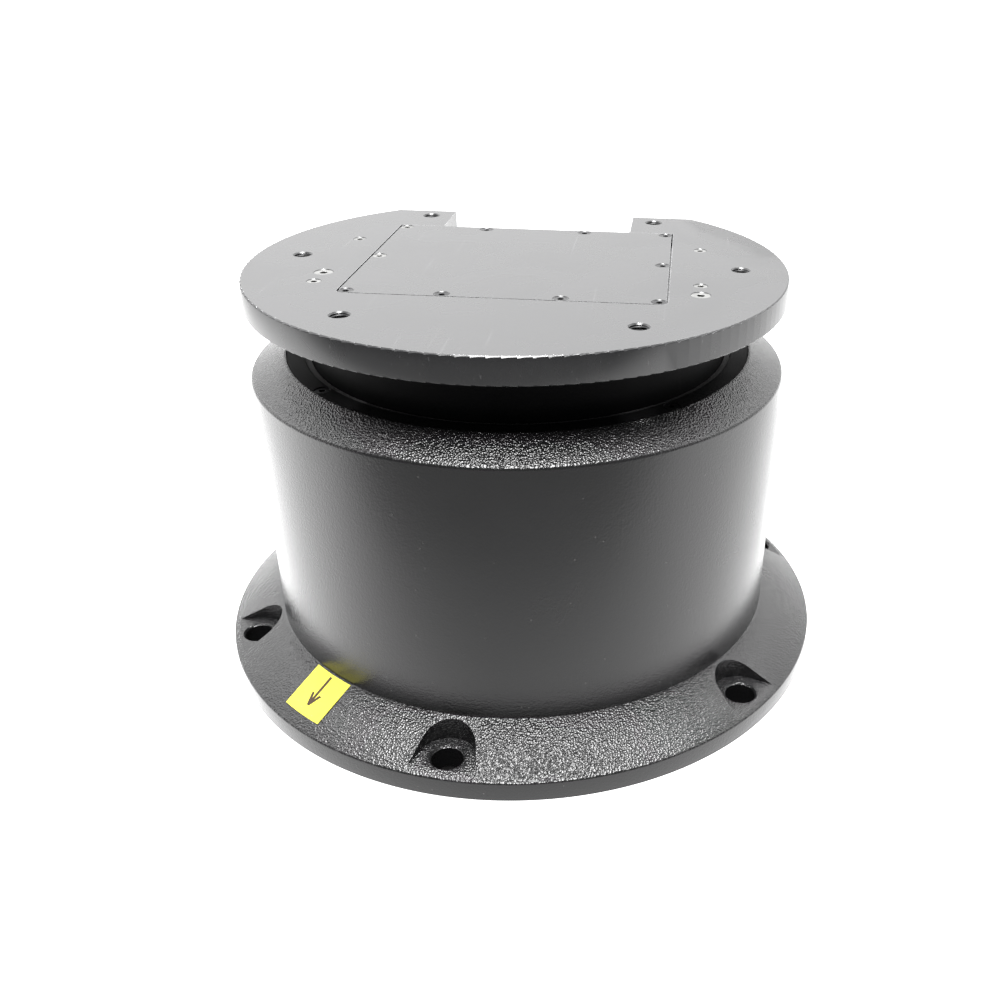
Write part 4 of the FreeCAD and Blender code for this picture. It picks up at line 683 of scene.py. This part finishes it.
def anodised(name, dark, pale, worn, wear_amount, bump_depth, rough=0.24, gloss=1.45):
    """Black anodised aluminium: satin, slightly blotchy, bare metal showing on rubbed edges."""
    material, tree, shader = new_material(name)
    marks = handled(tree, 0.035, 0.0011, 0.06)
    wear = rubbed_edges(tree, 0.0005, 0.0025, wear_amount)
    cut = use_group(tree, CUTTER_MARKS, Pitch=0.0005, Grain_Size=0.0003, Grain_Share=0.8)
    dyed = mix_colour(tree, marks["Smears"], dark, pale)
    scratched = mix_colour(tree, times(tree, marks["Scratches"], 0.05), dyed, worn)
    rubbed = mix_colour(tree, wear["Mask"], scratched, worn)
    paint(tree, shader, rubbed)
    vary_roughness(tree, shader, marks["Smears"], rough, rough + 0.07)
    tree.links.new(times(tree, wear["Mask"], 0.8), shader.inputs["Metallic"])
    shader.inputs["IOR"].default_value = gloss
    add_relief(tree, shader, cut["Height"], bump_depth, 0.5)
    return material


PLATE_FINISH = anodised("plate_anodised", (0.005, 0.005, 0.0055), (0.009, 0.009, 0.0095),
    (0.42, 0.42, 0.43), 0.5, 0.00001)


def merged_copy(name, node, material, edge=0.25, sharp=30.0):
    """The CAD piece as one clean shell, flat faces rejoined and its sharp edges broken."""
    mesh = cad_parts[node].data.copy()
    if "custom_normal" in mesh.attributes:
        mesh.attributes.remove(mesh.attributes["custom_normal"])
    mesh.materials.clear()
    work = bmesh.new()
    work.from_mesh(mesh)
    bmesh.ops.remove_doubles(work, verts=work.verts, dist=0.000002)
    bmesh.ops.dissolve_limit(work, angle_limit=math.radians(0.3), verts=work.verts, edges=work.edges)
    work.to_mesh(mesh)
    work.free()
    piece = finish_piece(name, [mesh], material, sharp)
    if edge:
        soften_edges(piece, edge)
    return piece


def stand_in(name, node, material, edge, body, finish):
    fit(merged_copy(name, node, material, edge), body, finish, node)


def build_tapped_thread():
    """Ridge of a tapped thread: one helix per hole, at the places given as points."""
    group, given, leave = new_group("tapped thread", "GeometryNodeTree",
        {"Holes": GEOMETRY, "Radius": 0.004, "Pitch": 0.00125, "Turns": 8.0, "Ridge": 0.00055,
            "Material": MATERIAL}, ["Geometry"])
    helix = place(group, "GeometryNodeCurveSpiral",
        {"Resolution": 28, "Rotations": given["Turns"], "Start Radius": given["Radius"],
            "End Radius": given["Radius"],
            "Height": times(group, given["Turns"], given["Pitch"])}).outputs[0]
    section = place(group, "GeometryNodeCurvePrimitiveCircle", {"Resolution": 3, "Radius": given["Ridge"]})
    ridge = place(group, "GeometryNodeCurveToMesh",
        {"Curve": helix, "Profile Curve": section.outputs[0], "Fill Caps": True}).outputs[0]
    copies = place(group, "GeometryNodeInstanceOnPoints", {"Points": given["Holes"], "Instance": ridge})
    return hand_over(group, given, leave, copies.outputs[0])


def place_points(name, places):
    mesh = bpy.data.meshes.new(name)
    mesh.from_pydata([(x * MM, y * MM, z * MM) for x, y, z in places], [], [])
    return mesh


# The threads get a darker, duller copy of the plate's anodising with dark rubbed edges: painted shade
# inside the tapped holes.
SHADED_THREAD_FINISH = anodised("tapped_hole_painted_shade", (0.004, 0.004, 0.0045), (0.008, 0.008, 0.0085), (0.04, 0.04, 0.04),
    0.3, 0.00001, 0.4, 1.3)
plate = merged_copy("turntable_plate", "top_plate", PLATE_FINISH, 0.3)
fit(plate, "rotor", "black_anodised", "top_plate")
TAPPED_THREAD = build_tapped_thread()
thread_mesh = tree_mesh("threads", TAPPED_THREAD,
    place_points("holes", [(x, y, THREAD_BOTTOM) for x, y in HEAD_BOLTS]), SHADED_THREAD_FINISH,
    {"Radius": THREAD_RADIUS * MM, "Pitch": THREAD_PITCH * MM, "Turns": THREAD_TURNS, "Ridge": 0.00055})
threads = finish_piece("head_bolt_threads", [thread_mesh], SHADED_THREAD_FINISH, 60)
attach(threads, "rotor")

# ==========================================================
# Hatch cover and its gasket. Thin aluminium sheet, milled and black anodised like the plate, laid
# on a nitrile gasket in the plate's rebate so that it comes out flush.
# ==========================================================

HATCH_FINISH = anodised("hatch_anodised", (0.005, 0.005, 0.0055), (0.009, 0.009, 0.0095),
    (0.36, 0.36, 0.37), 0.45, 0.000008)


def soft_rubber(name):
    material, tree, shader = new_material(name)
    marks = handled(tree, 0.02, 0.0008, 0.4)
    grain = grained(tree, 0.0007, 0.0002, 0.5)
    black = mix_colour(tree, marks["Smears"], (0.012, 0.012, 0.012), (0.022, 0.022, 0.022))
    paint(tree, shader, mix_colour(tree, marks["Specks"], black, (0.12, 0.12, 0.11)))
    vary_roughness(tree, shader, marks["Smears"], 0.62, 0.75)
    add_relief(tree, shader, grain["Height"], 0.00005, 0.4)
    return material


def dress(material, *nodes):
    """Give CAD pieces that keep their own shape their real finish."""
    for node in nodes:
        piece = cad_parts[node]
        if not piece.material_slots:
            piece.data.materials.append(material)
        for holder in piece.material_slots:
            holder.link = "OBJECT"
            holder.material = material


NITRILE = soft_rubber("nitrile")
hatch = merged_copy("hatch_lid", "hatch_cover", HATCH_FINISH, 0.2)
fit(hatch, "rotor", "black_anodised", "hatch_cover")
dress(NITRILE, "hatch_gasket", "neck_seal", "base_gasket")

# ==========================================================
# Countersunk screws. Hexagon socket, cold headed steel: black oxide on the hatch, the seal cover
# and the base cover; bright stainless where two were replaced and where the plate meets the hub.
# ==========================================================

SCREW_TOP = 189.7
HATCH_SCREW_X = 67.0
HATCH_INNER_X = 25.4
HATCH_SCREW_Y = (-52.5, 3.1, 58.7)
HATCH_HEAD = 3.3
LARGE_HEAD = 4.2
SMALL_HEAD = 3.0
M4_RADIUS = 2.0
M5_RADIUS = 2.5
PLATE_SCREW_X = 84.5
SEAL_SCREW_CIRCLE = 105.25
SEAL_SCREW_TOP = 152.3
COVER_SCREW_CIRCLE = 122.75
COVER_SCREW_FACE = 3.3


def metal_finish(name, colour, darker, rough, grain_size, worn=(0.8, 0.8, 0.8), wear_amount=0.3):
    """Bare or plated metal: slightly mottled, finely marked, brighter where edges are rubbed."""
    material, tree, shader = new_material(name)
    marks = handled(tree, 0.01, 0.0007, 0.3)
    wear = rubbed_edges(tree, 0.00025, 0.0012, wear_amount)
    cut = use_group(tree, CUTTER_MARKS, Pitch=grain_size, Grain_Size=grain_size, Grain_Share=0.7)
    mottled = mix_colour(tree, marks["Smears"], colour, darker)
    rubbed = mix_colour(tree, wear["Mask"], mottled, worn)
    paint(tree, shader, rubbed)
    vary_roughness(tree, shader, marks["Smears"], rough, rough + 0.14)
    shader.inputs["Metallic"].default_value = 1.0
    add_relief(tree, shader, cut["Height"], 0.00001, 0.35)
    return material


BLACK_SCREW = metal_finish("black_oxide", (0.020, 0.020, 0.021), (0.010, 0.010, 0.011), 0.34, 0.0002,
    (0.20, 0.20, 0.21), 0.6)
PLAIN_SCREW = metal_finish("stainless", (0.20, 0.20, 0.195), (0.09, 0.09, 0.088), 0.30, 0.0002)


def build_countersunk_screws():
    """Countersunk hexagon-socket screws stood on points, each turned by its own amount."""
    group, given, leave = new_group("countersunk screws", "GeometryNodeTree",
        {"Places": GEOMETRY, "Head Radius": 0.0033, "Thread Radius": 0.002, "Length": 0.01,
            "Socket Depth": 0.0013, "Seed": 3, "Material": MATERIAL}, ["Geometry"])
    head_radius = given["Head Radius"]
    thread_radius = given["Thread Radius"]
    depth = minus(group, head_radius, thread_radius)
    cone = place(group, "GeometryNodeMeshCone",
        {"Vertices": 40, "Radius Top": head_radius, "Radius Bottom": thread_radius,
            "Depth": depth}).outputs["Mesh"]
    cone = moved(group, cone, Z=times(group, depth, -1.0))
    socket = place(group, "GeometryNodeMeshCylinder",
        {"Vertices": 6, "Radius": times(group, thread_radius, 0.72),
            "Depth": times(group, given["Socket Depth"], 2.0)}).outputs["Mesh"]
    head = less(group, cone, socket)
    length = given["Length"]
    shank = place(group, "GeometryNodeMeshCylinder",
        {"Vertices": 24, "Radius": times(group, thread_radius, 0.98),
            "Depth": minus(group, length, depth)}).outputs["Mesh"]
    middle = times(group, plus(group, length, depth), -0.5)
    screw = joined(group, head, moved(group, shank, Z=middle))
    spin = place(group, "FunctionNodeRandomValue", {"Seed": given["Seed"]}, data_type="FLOAT")
    spin.inputs[3].default_value = 6.283
    rotation = place(group, "ShaderNodeCombineXYZ", {"Z": spin.outputs[1]}).outputs[0]
    copies = place(group, "GeometryNodeInstanceOnPoints",
        {"Points": given["Places"], "Instance": screw, "Rotation": rotation})
    return hand_over(group, given, leave, copies.outputs[0])


COUNTERSUNK_SCREWS = build_countersunk_screws()


def screw_set(name, places, head_radius, thread_radius, length, material, body, finish, node, seed,
    upwards=True):
    """Screws of one kind; places are the centres of their heads' tops in mm."""
    flip = 1 if upwards else -1
    mesh = tree_mesh(name, COUNTERSUNK_SCREWS,
        place_points(name, [(x, y * flip, z * flip) for x, y, z in places]), material,
        {"Head Radius": head_radius * MM, "Thread Radius": thread_radius * MM, "Length": length * MM,
            "Socket Depth": thread_radius * 0.62 * MM, "Seed": seed})
    if not upwards:
        mesh.transform(Matrix.Rotation(math.pi, 4, "X"))
    piece = soften_edges(finish_piece(name, [mesh], material), 0.08)
    fit(piece, body, finish, node)


def circle_of(radius, count, first_degrees, z):
    return [(radius * math.cos(math.radians(first_degrees + 360 * i / count)),
            radius * math.sin(math.radians(first_degrees + 360 * i / count)), z) for i in range(count)]


front_y, middle_y, rear_y = HATCH_SCREW_Y
dark_places = [(x, front_y, SCREW_TOP) for x in (-HATCH_SCREW_X, -HATCH_INNER_X, HATCH_INNER_X,
        HATCH_SCREW_X)]
dark_places += [(x, rear_y, SCREW_TOP) for x in (-HATCH_INNER_X, HATCH_INNER_X, HATCH_SCREW_X)]
dark_places += [(HATCH_SCREW_X, middle_y, SCREW_TOP)]
plain_places = [(-HATCH_SCREW_X, middle_y, SCREW_TOP), (-HATCH_SCREW_X, rear_y, SCREW_TOP)]
large_places = [(-PLATE_SCREW_X, -27.0, SCREW_TOP), (PLATE_SCREW_X, -40.5, SCREW_TOP)]
small_places = [(-PLATE_SCREW_X, -41.0, SCREW_TOP), (PLATE_SCREW_X, -27.0, SCREW_TOP),
    (-PLATE_SCREW_X, 32.0, SCREW_TOP), (PLATE_SCREW_X, 32.0, SCREW_TOP)]
screw_set("lid_screws_black", dark_places, HATCH_HEAD, M4_RADIUS, 10, BLACK_SCREW, "rotor", "black_screw",
    "hatch_screws", 3)
screw_set("lid_screws_bright", plain_places, HATCH_HEAD, M4_RADIUS, 10, PLAIN_SCREW, "rotor", "plain_screw",
    "hatch_screws_plain", 8)
screw_set("hub_screws_m5", large_places, LARGE_HEAD, M5_RADIUS, 24, PLAIN_SCREW, "rotor", "plain_screw",
    "plate_screws_large", 5)
screw_set("hub_screws_m4", small_places, SMALL_HEAD, M4_RADIUS, 24, PLAIN_SCREW, "rotor", "plain_screw",
    "plate_screws_small", 6)
screw_set("seal_ring_screws", circle_of(SEAL_SCREW_CIRCLE, 4, 45, SEAL_SCREW_TOP), HATCH_HEAD, M4_RADIUS,
    18, BLACK_SCREW, "base", "black_screw", "seal_cover_screws", 11)
screw_set("bottom_screws", circle_of(COVER_SCREW_CIRCLE, 6, FLANGE_TURN + 30, COVER_SCREW_FACE), HATCH_HEAD,
    M4_RADIUS, 14, BLACK_SCREW, "base", "black_screw", "base_cover_screws", 12, upwards=False)

# ==========================================================
# Neck and covers. The hub's neck, the seal cover, the notch's panel and the base cover are turned
# or milled aluminium, matt black anodised, and less handled than the plate.
# ==========================================================

COVER_FINISH = anodised("cover_anodised", (0.006, 0.006, 0.0065), (0.010, 0.010, 0.0105),
    (0.05, 0.05, 0.05), 0.2, 0.00001, 0.4, 1.4)
# The neck and the seal cover get a much darker, less reflective copy of the cover's anodising: painted
# shade under the plate's overhang.
SHADED_NECK_FINISH = anodised("neck_anodised_painted_shade", (0.0015, 0.0015, 0.0017), (0.0025, 0.0025, 0.0027),
    (0.01, 0.01, 0.01), 0.2, 0.00001, 0.6, 1.15)
stand_in("hub_neck", "rotor_hub", SHADED_NECK_FINISH, 0.2, "rotor", "black_anodised")
stand_in("seal_ring", "seal_cover", SHADED_NECK_FINISH, 0.15, "base", "black_anodised")
stand_in("notch_panel", "connector_panel", COVER_FINISH, 0.2, "rotor", "black_anodised")
stand_in("bottom_plate", "base_cover", COVER_FINISH, 0.3, "base", "black_anodised")

# ==========================================================
# Connectors. Nickel-plated round shells with black moulded inserts: one behind the plate's notch
# with a ribbed coupling ring, one on the drum's pad; socket cap screws hold them.
# ==========================================================

RING_BODY = 8.55
RING_RADIUS = 9.0
RING_BORE = 7.05
RING_LENGTH = 13.0
RING_START = 65.5
RING_RIBS = 44
HEAD_AXIS_X = 17.0
HEAD_AXIS_Z = 175.4

NICKEL = metal_finish("nickel_plate", (0.72, 0.70, 0.66), (0.58, 0.56, 0.52), 0.16, 0.00025)


def moulded(name, colour, paler, rough, grain_size):
    """Moulded plastic or resin: spark-eroded grain, dull where it was touched."""
    material, tree, shader = new_material(name)
    marks = handled(tree, 0.012, 0.0006, 0.3)
    grain = grained(tree, grain_size, grain_size * 0.4, 0.4)
    paint(tree, shader, mix_colour(tree, marks["Smears"], colour, paler))
    vary_roughness(tree, shader, marks["Smears"], rough, rough + 0.12)
    add_relief(tree, shader, grain["Height"], 0.00003, 0.4)
    return material


BLACK_PLASTIC = moulded("black_moulded", (0.018, 0.018, 0.019), (0.030, 0.030, 0.031), 0.42, 0.0004)


def build_ribbed_ring():
    """Coupling ring: a turned body with straight ribs set round it for grip."""
    group, given, leave = new_group("ribbed ring", "GeometryNodeTree",
        {"Profile": GEOMETRY, "Ribs": 44, "Rib Circle": 0.0086, "Rib Height": 0.0008, "Rib Length": 0.009,
            "Middle": 0.006, "Material": MATERIAL}, ["Geometry"])
    body = tree_group(group, TURNED_PIECE,
        {"Profile": given["Profile"], "Segments": 96, "Material": given["Material"]})
    size = place(group, "ShaderNodeCombineXYZ",
        {"X": given["Rib Height"], "Y": 0.0007, "Z": given["Rib Length"]}).outputs[0]
    rib = place(group, "GeometryNodeMeshCube", {"Size": size}).outputs["Mesh"]
    rib = moved(group, rib, X=given["Rib Circle"], Z=given["Middle"])
    ribs = cut_round_axis(group, rib, given["Ribs"], 0.0)
    return hand_over(group, given, leave, joined(group, body, ribs))


ring_profile = profile_mesh("ring_profile",
    [(RING_BORE, 0, 0.2), (RING_RADIUS, 0, 0.5), (RING_RADIUS, 1.4, 0.3), (RING_BODY, 1.9, 0),
        (RING_BODY, RING_LENGTH - 1.9, 0), (RING_RADIUS, RING_LENGTH - 1.4, 0.3),
        (RING_RADIUS, RING_LENGTH, 0.5), (RING_BORE, RING_LENGTH, 0.2)])
ring_mesh = tree_mesh("coupling_ring", build_ribbed_ring(), ring_profile, NICKEL,
    {"Ribs": RING_RIBS, "Rib Circle": (RING_BODY + 0.05) * MM, "Rib Height": 0.0007,
        "Rib Length": (RING_LENGTH - 3.6) * MM, "Middle": RING_LENGTH / 2 * MM})
ring_mesh.transform(Matrix.Translation(Vector((HEAD_AXIS_X, RING_START,
        HEAD_AXIS_Z)) * MM) @ Matrix.Rotation(-math.pi / 2, 4, "X"))
fit(finish_piece("coupling_ring", [ring_mesh], NICKEL), "rotor", "nickel", "head_connector_nut")
stand_in("head_socket", "head_connector_shell", NICKEL, 0.2, "rotor", "nickel")
stand_in("supply_socket", "supply_connector_shell", NICKEL, 0.2, "base", "nickel")
stand_in("panel_cap_screws", "panel_screws", BLACK_SCREW, 0.1, "rotor", "black_screw")
stand_in("socket_cap_screws", "supply_connector_screws", PLAIN_SCREW, 0.1, "base", "plain_screw")
stand_in("earth_screw", "ground_screw", PLAIN_SCREW, 0.15, "base", "plain_screw")
dress(BLACK_PLASTIC, "head_connector_insert", "supply_connector_insert")

# ==========================================================
# Direction label. Printed yellow vinyl stuck on the flange's cone, with a thin arrow that points
# out towards the rim.
# ==========================================================

LABEL_TURN = math.radians(126)
ARROW_TAIL = 0.1281
ARROW_TIP = 0.1422
ARROW_BARB = 0.1367
ARROW_SLOPE = 0.4545
STROKE_HALF = 0.00075


def printed_vinyl():
    material, tree, shader = new_material("label_vinyl")
    coordinates = object_place(tree)
    turned_in = place(tree, "ShaderNodeMapping",
        {"Vector": coordinates, "Rotation": (0, 0, LABEL_TURN)}).outputs[0]
    split = place(tree, "ShaderNodeSeparateXYZ", {0: turned_in})
    outward = split.outputs["X"]
    aside = math_node(tree, "ABSOLUTE", split.outputs["Y"])

    def between(value, low, high):
        return times(tree, math_node(tree, "GREATER_THAN", value, low),
            math_node(tree, "LESS_THAN", value, high))

    shaft = times(tree, between(outward, ARROW_TAIL, ARROW_TIP - 0.001),
        math_node(tree, "LESS_THAN", aside, STROKE_HALF))
    barb_line = times(tree, minus(tree, ARROW_TIP, outward), ARROW_SLOPE)
    off_line = math_node(tree, "ABSOLUTE", minus(tree, aside, barb_line))
    barbs = times(tree, between(outward, ARROW_BARB, ARROW_TIP),
        math_node(tree, "LESS_THAN", off_line, STROKE_HALF))
    ink = math_node(tree, "MAXIMUM", shaft, barbs)
    marks = handled(tree, 0.012, 0.0009, 0.5)
    yellow = mix_colour(tree, marks["Smears"], (0.40, 0.37, 0.042), (0.36, 0.335, 0.038))
    soiled = mix_colour(tree, marks["Specks"], yellow, (0.30, 0.26, 0.10))
    paint(tree, shader, mix_colour(tree, ink, soiled, (0.03, 0.018, 0.012)))
    vary_roughness(tree, shader, marks["Smears"], 0.35, 0.5)
    shader.inputs["IOR"].default_value = 1.2
    fibre = grained(tree, 0.0015, 0.0003, 0.3)
    add_relief(tree, shader, fibre["Height"], 0.00003, 0.3)
    return material


stand_in("arrow_label", "direction_label", printed_vinyl(), 0, "base", "label_yellow")

# ==========================================================
# Bearing, motor and encoder. Ground steel rings and balls in a moulded cage, varnished steel
# laminations with copper coils, nickel-plated magnets and a glass disc between them.
# ==========================================================

GROUND_STEEL = metal_finish("ground_steel", (0.63, 0.63, 0.62), (0.52, 0.52, 0.51), 0.12, 0.00015)
BARE_ALUMINIUM = metal_finish("machined_aluminium", (0.76, 0.77, 0.78), (0.66, 0.67, 0.68), 0.28, 0.0004)
MAGNET_PLATE = metal_finish("magnet_plate", (0.62, 0.60, 0.57), (0.50, 0.49, 0.46), 0.2, 0.0003)
CAGE_PLASTIC = moulded("natural_polyamide", (0.72, 0.66, 0.50), (0.80, 0.75, 0.60), 0.38, 0.0006)


def layered(name, colour, darker, metallic, rough, pitch, depth):
    """Laminations or wound wire: fine lines that lie one above another."""
    material, tree, shader = new_material(name)
    marks = handled(tree, 0.008, 0.0006, 0.2)
    coordinates = object_place(tree)
    lines = place(tree, "ShaderNodeTexWave",
        {"Vector": coordinates, "Scale": 0.314 / pitch, "Distortion": 0.6, "Detail Scale": 2.0},
        bands_direction="Z").outputs["Fac"]
    paint(tree, shader, mix_colour(tree, lines, darker, mix_colour(tree, marks["Smears"], colour, darker)))
    vary_roughness(tree, shader, marks["Smears"], rough, rough + 0.12)
    shader.inputs["Metallic"].default_value = metallic
    add_relief(tree, shader, lines, depth, 0.6)
    return material


def graduated_glass():
    material, tree, shader = new_material("encoder_glass")
    marks = handled(tree, 0.02, 0.0006, 0.1)
    paint(tree, shader, mix_colour(tree, marks["Smears"], (0.80, 0.86, 0.86), (0.72, 0.80, 0.80)))
    vary_roughness(tree, shader, marks["Smears"], 0.02, 0.08)
    shader.inputs["Transmission Weight"].default_value = 0.8
    shader.inputs["IOR"].default_value = 1.52
    return material


dress(GROUND_STEEL, "bearing_outer_ring", "bearing_inner_ring", "bearing_balls", "rotor_lock_ring")
dress(CAGE_PLASTIC, "bearing_cage", "slip_ring_bush")
dress(BARE_ALUMINIUM, "stator_carrier", "inner_ring_clamp", "encoder_disc_ring", "slip_ring_driver")
dress(layered("varnished_core", (0.26, 0.26, 0.28), (0.10, 0.10, 0.11), 0.9, 0.35, 0.0005, 0.00004),
    "stator_core", "rotor_yoke")
dress(layered("copper_winding", (0.75, 0.34, 0.16), (0.35, 0.13, 0.05), 1.0, 0.25, 0.0007, 0.00015),
    "stator_coils")
dress(MAGNET_PLATE, "rotor_magnets")
dress(graduated_glass(), "encoder_disc")
dress(BLACK_PLASTIC, "encoder_read_head", "slip_ring_body", "control_board_parts", "junction_board_sockets")
dress(BLACK_SCREW, "stator_carrier_screws", "slip_ring_screws", "inner_clamp_screws",
    "slip_ring_driver_screws", "housing_screws")

# ==========================================================
# Slip ring contacts, circuit boards and leads. Gold-plated tracks and brushes, resin boards on
# brass spacers, and wires bundled in woven sleeving.
# ==========================================================

GOLD = metal_finish("gold_plate", (0.85, 0.62, 0.24), (0.72, 0.50, 0.18), 0.15, 0.00015)
BRASS = metal_finish("turned_brass", (0.76, 0.58, 0.27), (0.62, 0.45, 0.18), 0.22, 0.0003)


def solder_resist():
    """Green board: copper tracks under the resist as faint raised lines."""
    material, tree, shader = new_material("solder_resist")
    coordinates = object_place(tree)
    cells = place(tree, "ShaderNodeTexVoronoi", {"Vector": coordinates, "Scale": 260.0},
        distance="CHEBYCHEV").outputs["Distance"]
    tracks = remap(tree, cells, 0.42, 0.46)
    paint(tree, shader, mix_colour(tree, tracks, (0.010, 0.12, 0.045), (0.025, 0.22, 0.085)))
    vary_roughness(tree, shader, tracks, 0.34, 0.24)
    add_relief(tree, shader, tracks, 0.00004, 0.5)
    return material


def woven_sleeve():
    material, tree, shader = new_material("woven_sleeving")
    coordinates = object_place(tree)
    weft = place(tree, "ShaderNodeTexWave", {"Vector": coordinates, "Scale": 420.0},
        bands_direction="DIAGONAL")
    warp = place(tree, "ShaderNodeTexWave", {"Vector": coordinates, "Scale": 420.0}, bands_direction="Z")
    weave = times(tree, weft.outputs["Fac"], warp.outputs["Fac"])
    paint(tree, shader, mix_colour(tree, weave, (0.012, 0.012, 0.013), (0.045, 0.045, 0.048)))
    vary_roughness(tree, shader, weave, 0.75, 0.55)
    add_relief(tree, shader, weave, 0.0001, 0.6)
    return material


dress(GOLD, "slip_ring_rotor", "slip_ring_brushes")
dress(BRASS, "control_board_posts", "junction_board_posts")
dress(solder_resist(), "control_board", "junction_board")
dress(woven_sleeve(), "stator_leads", "supply_leads", "rotor_leads")
dress(PLAIN_SCREW, "control_board_screws")
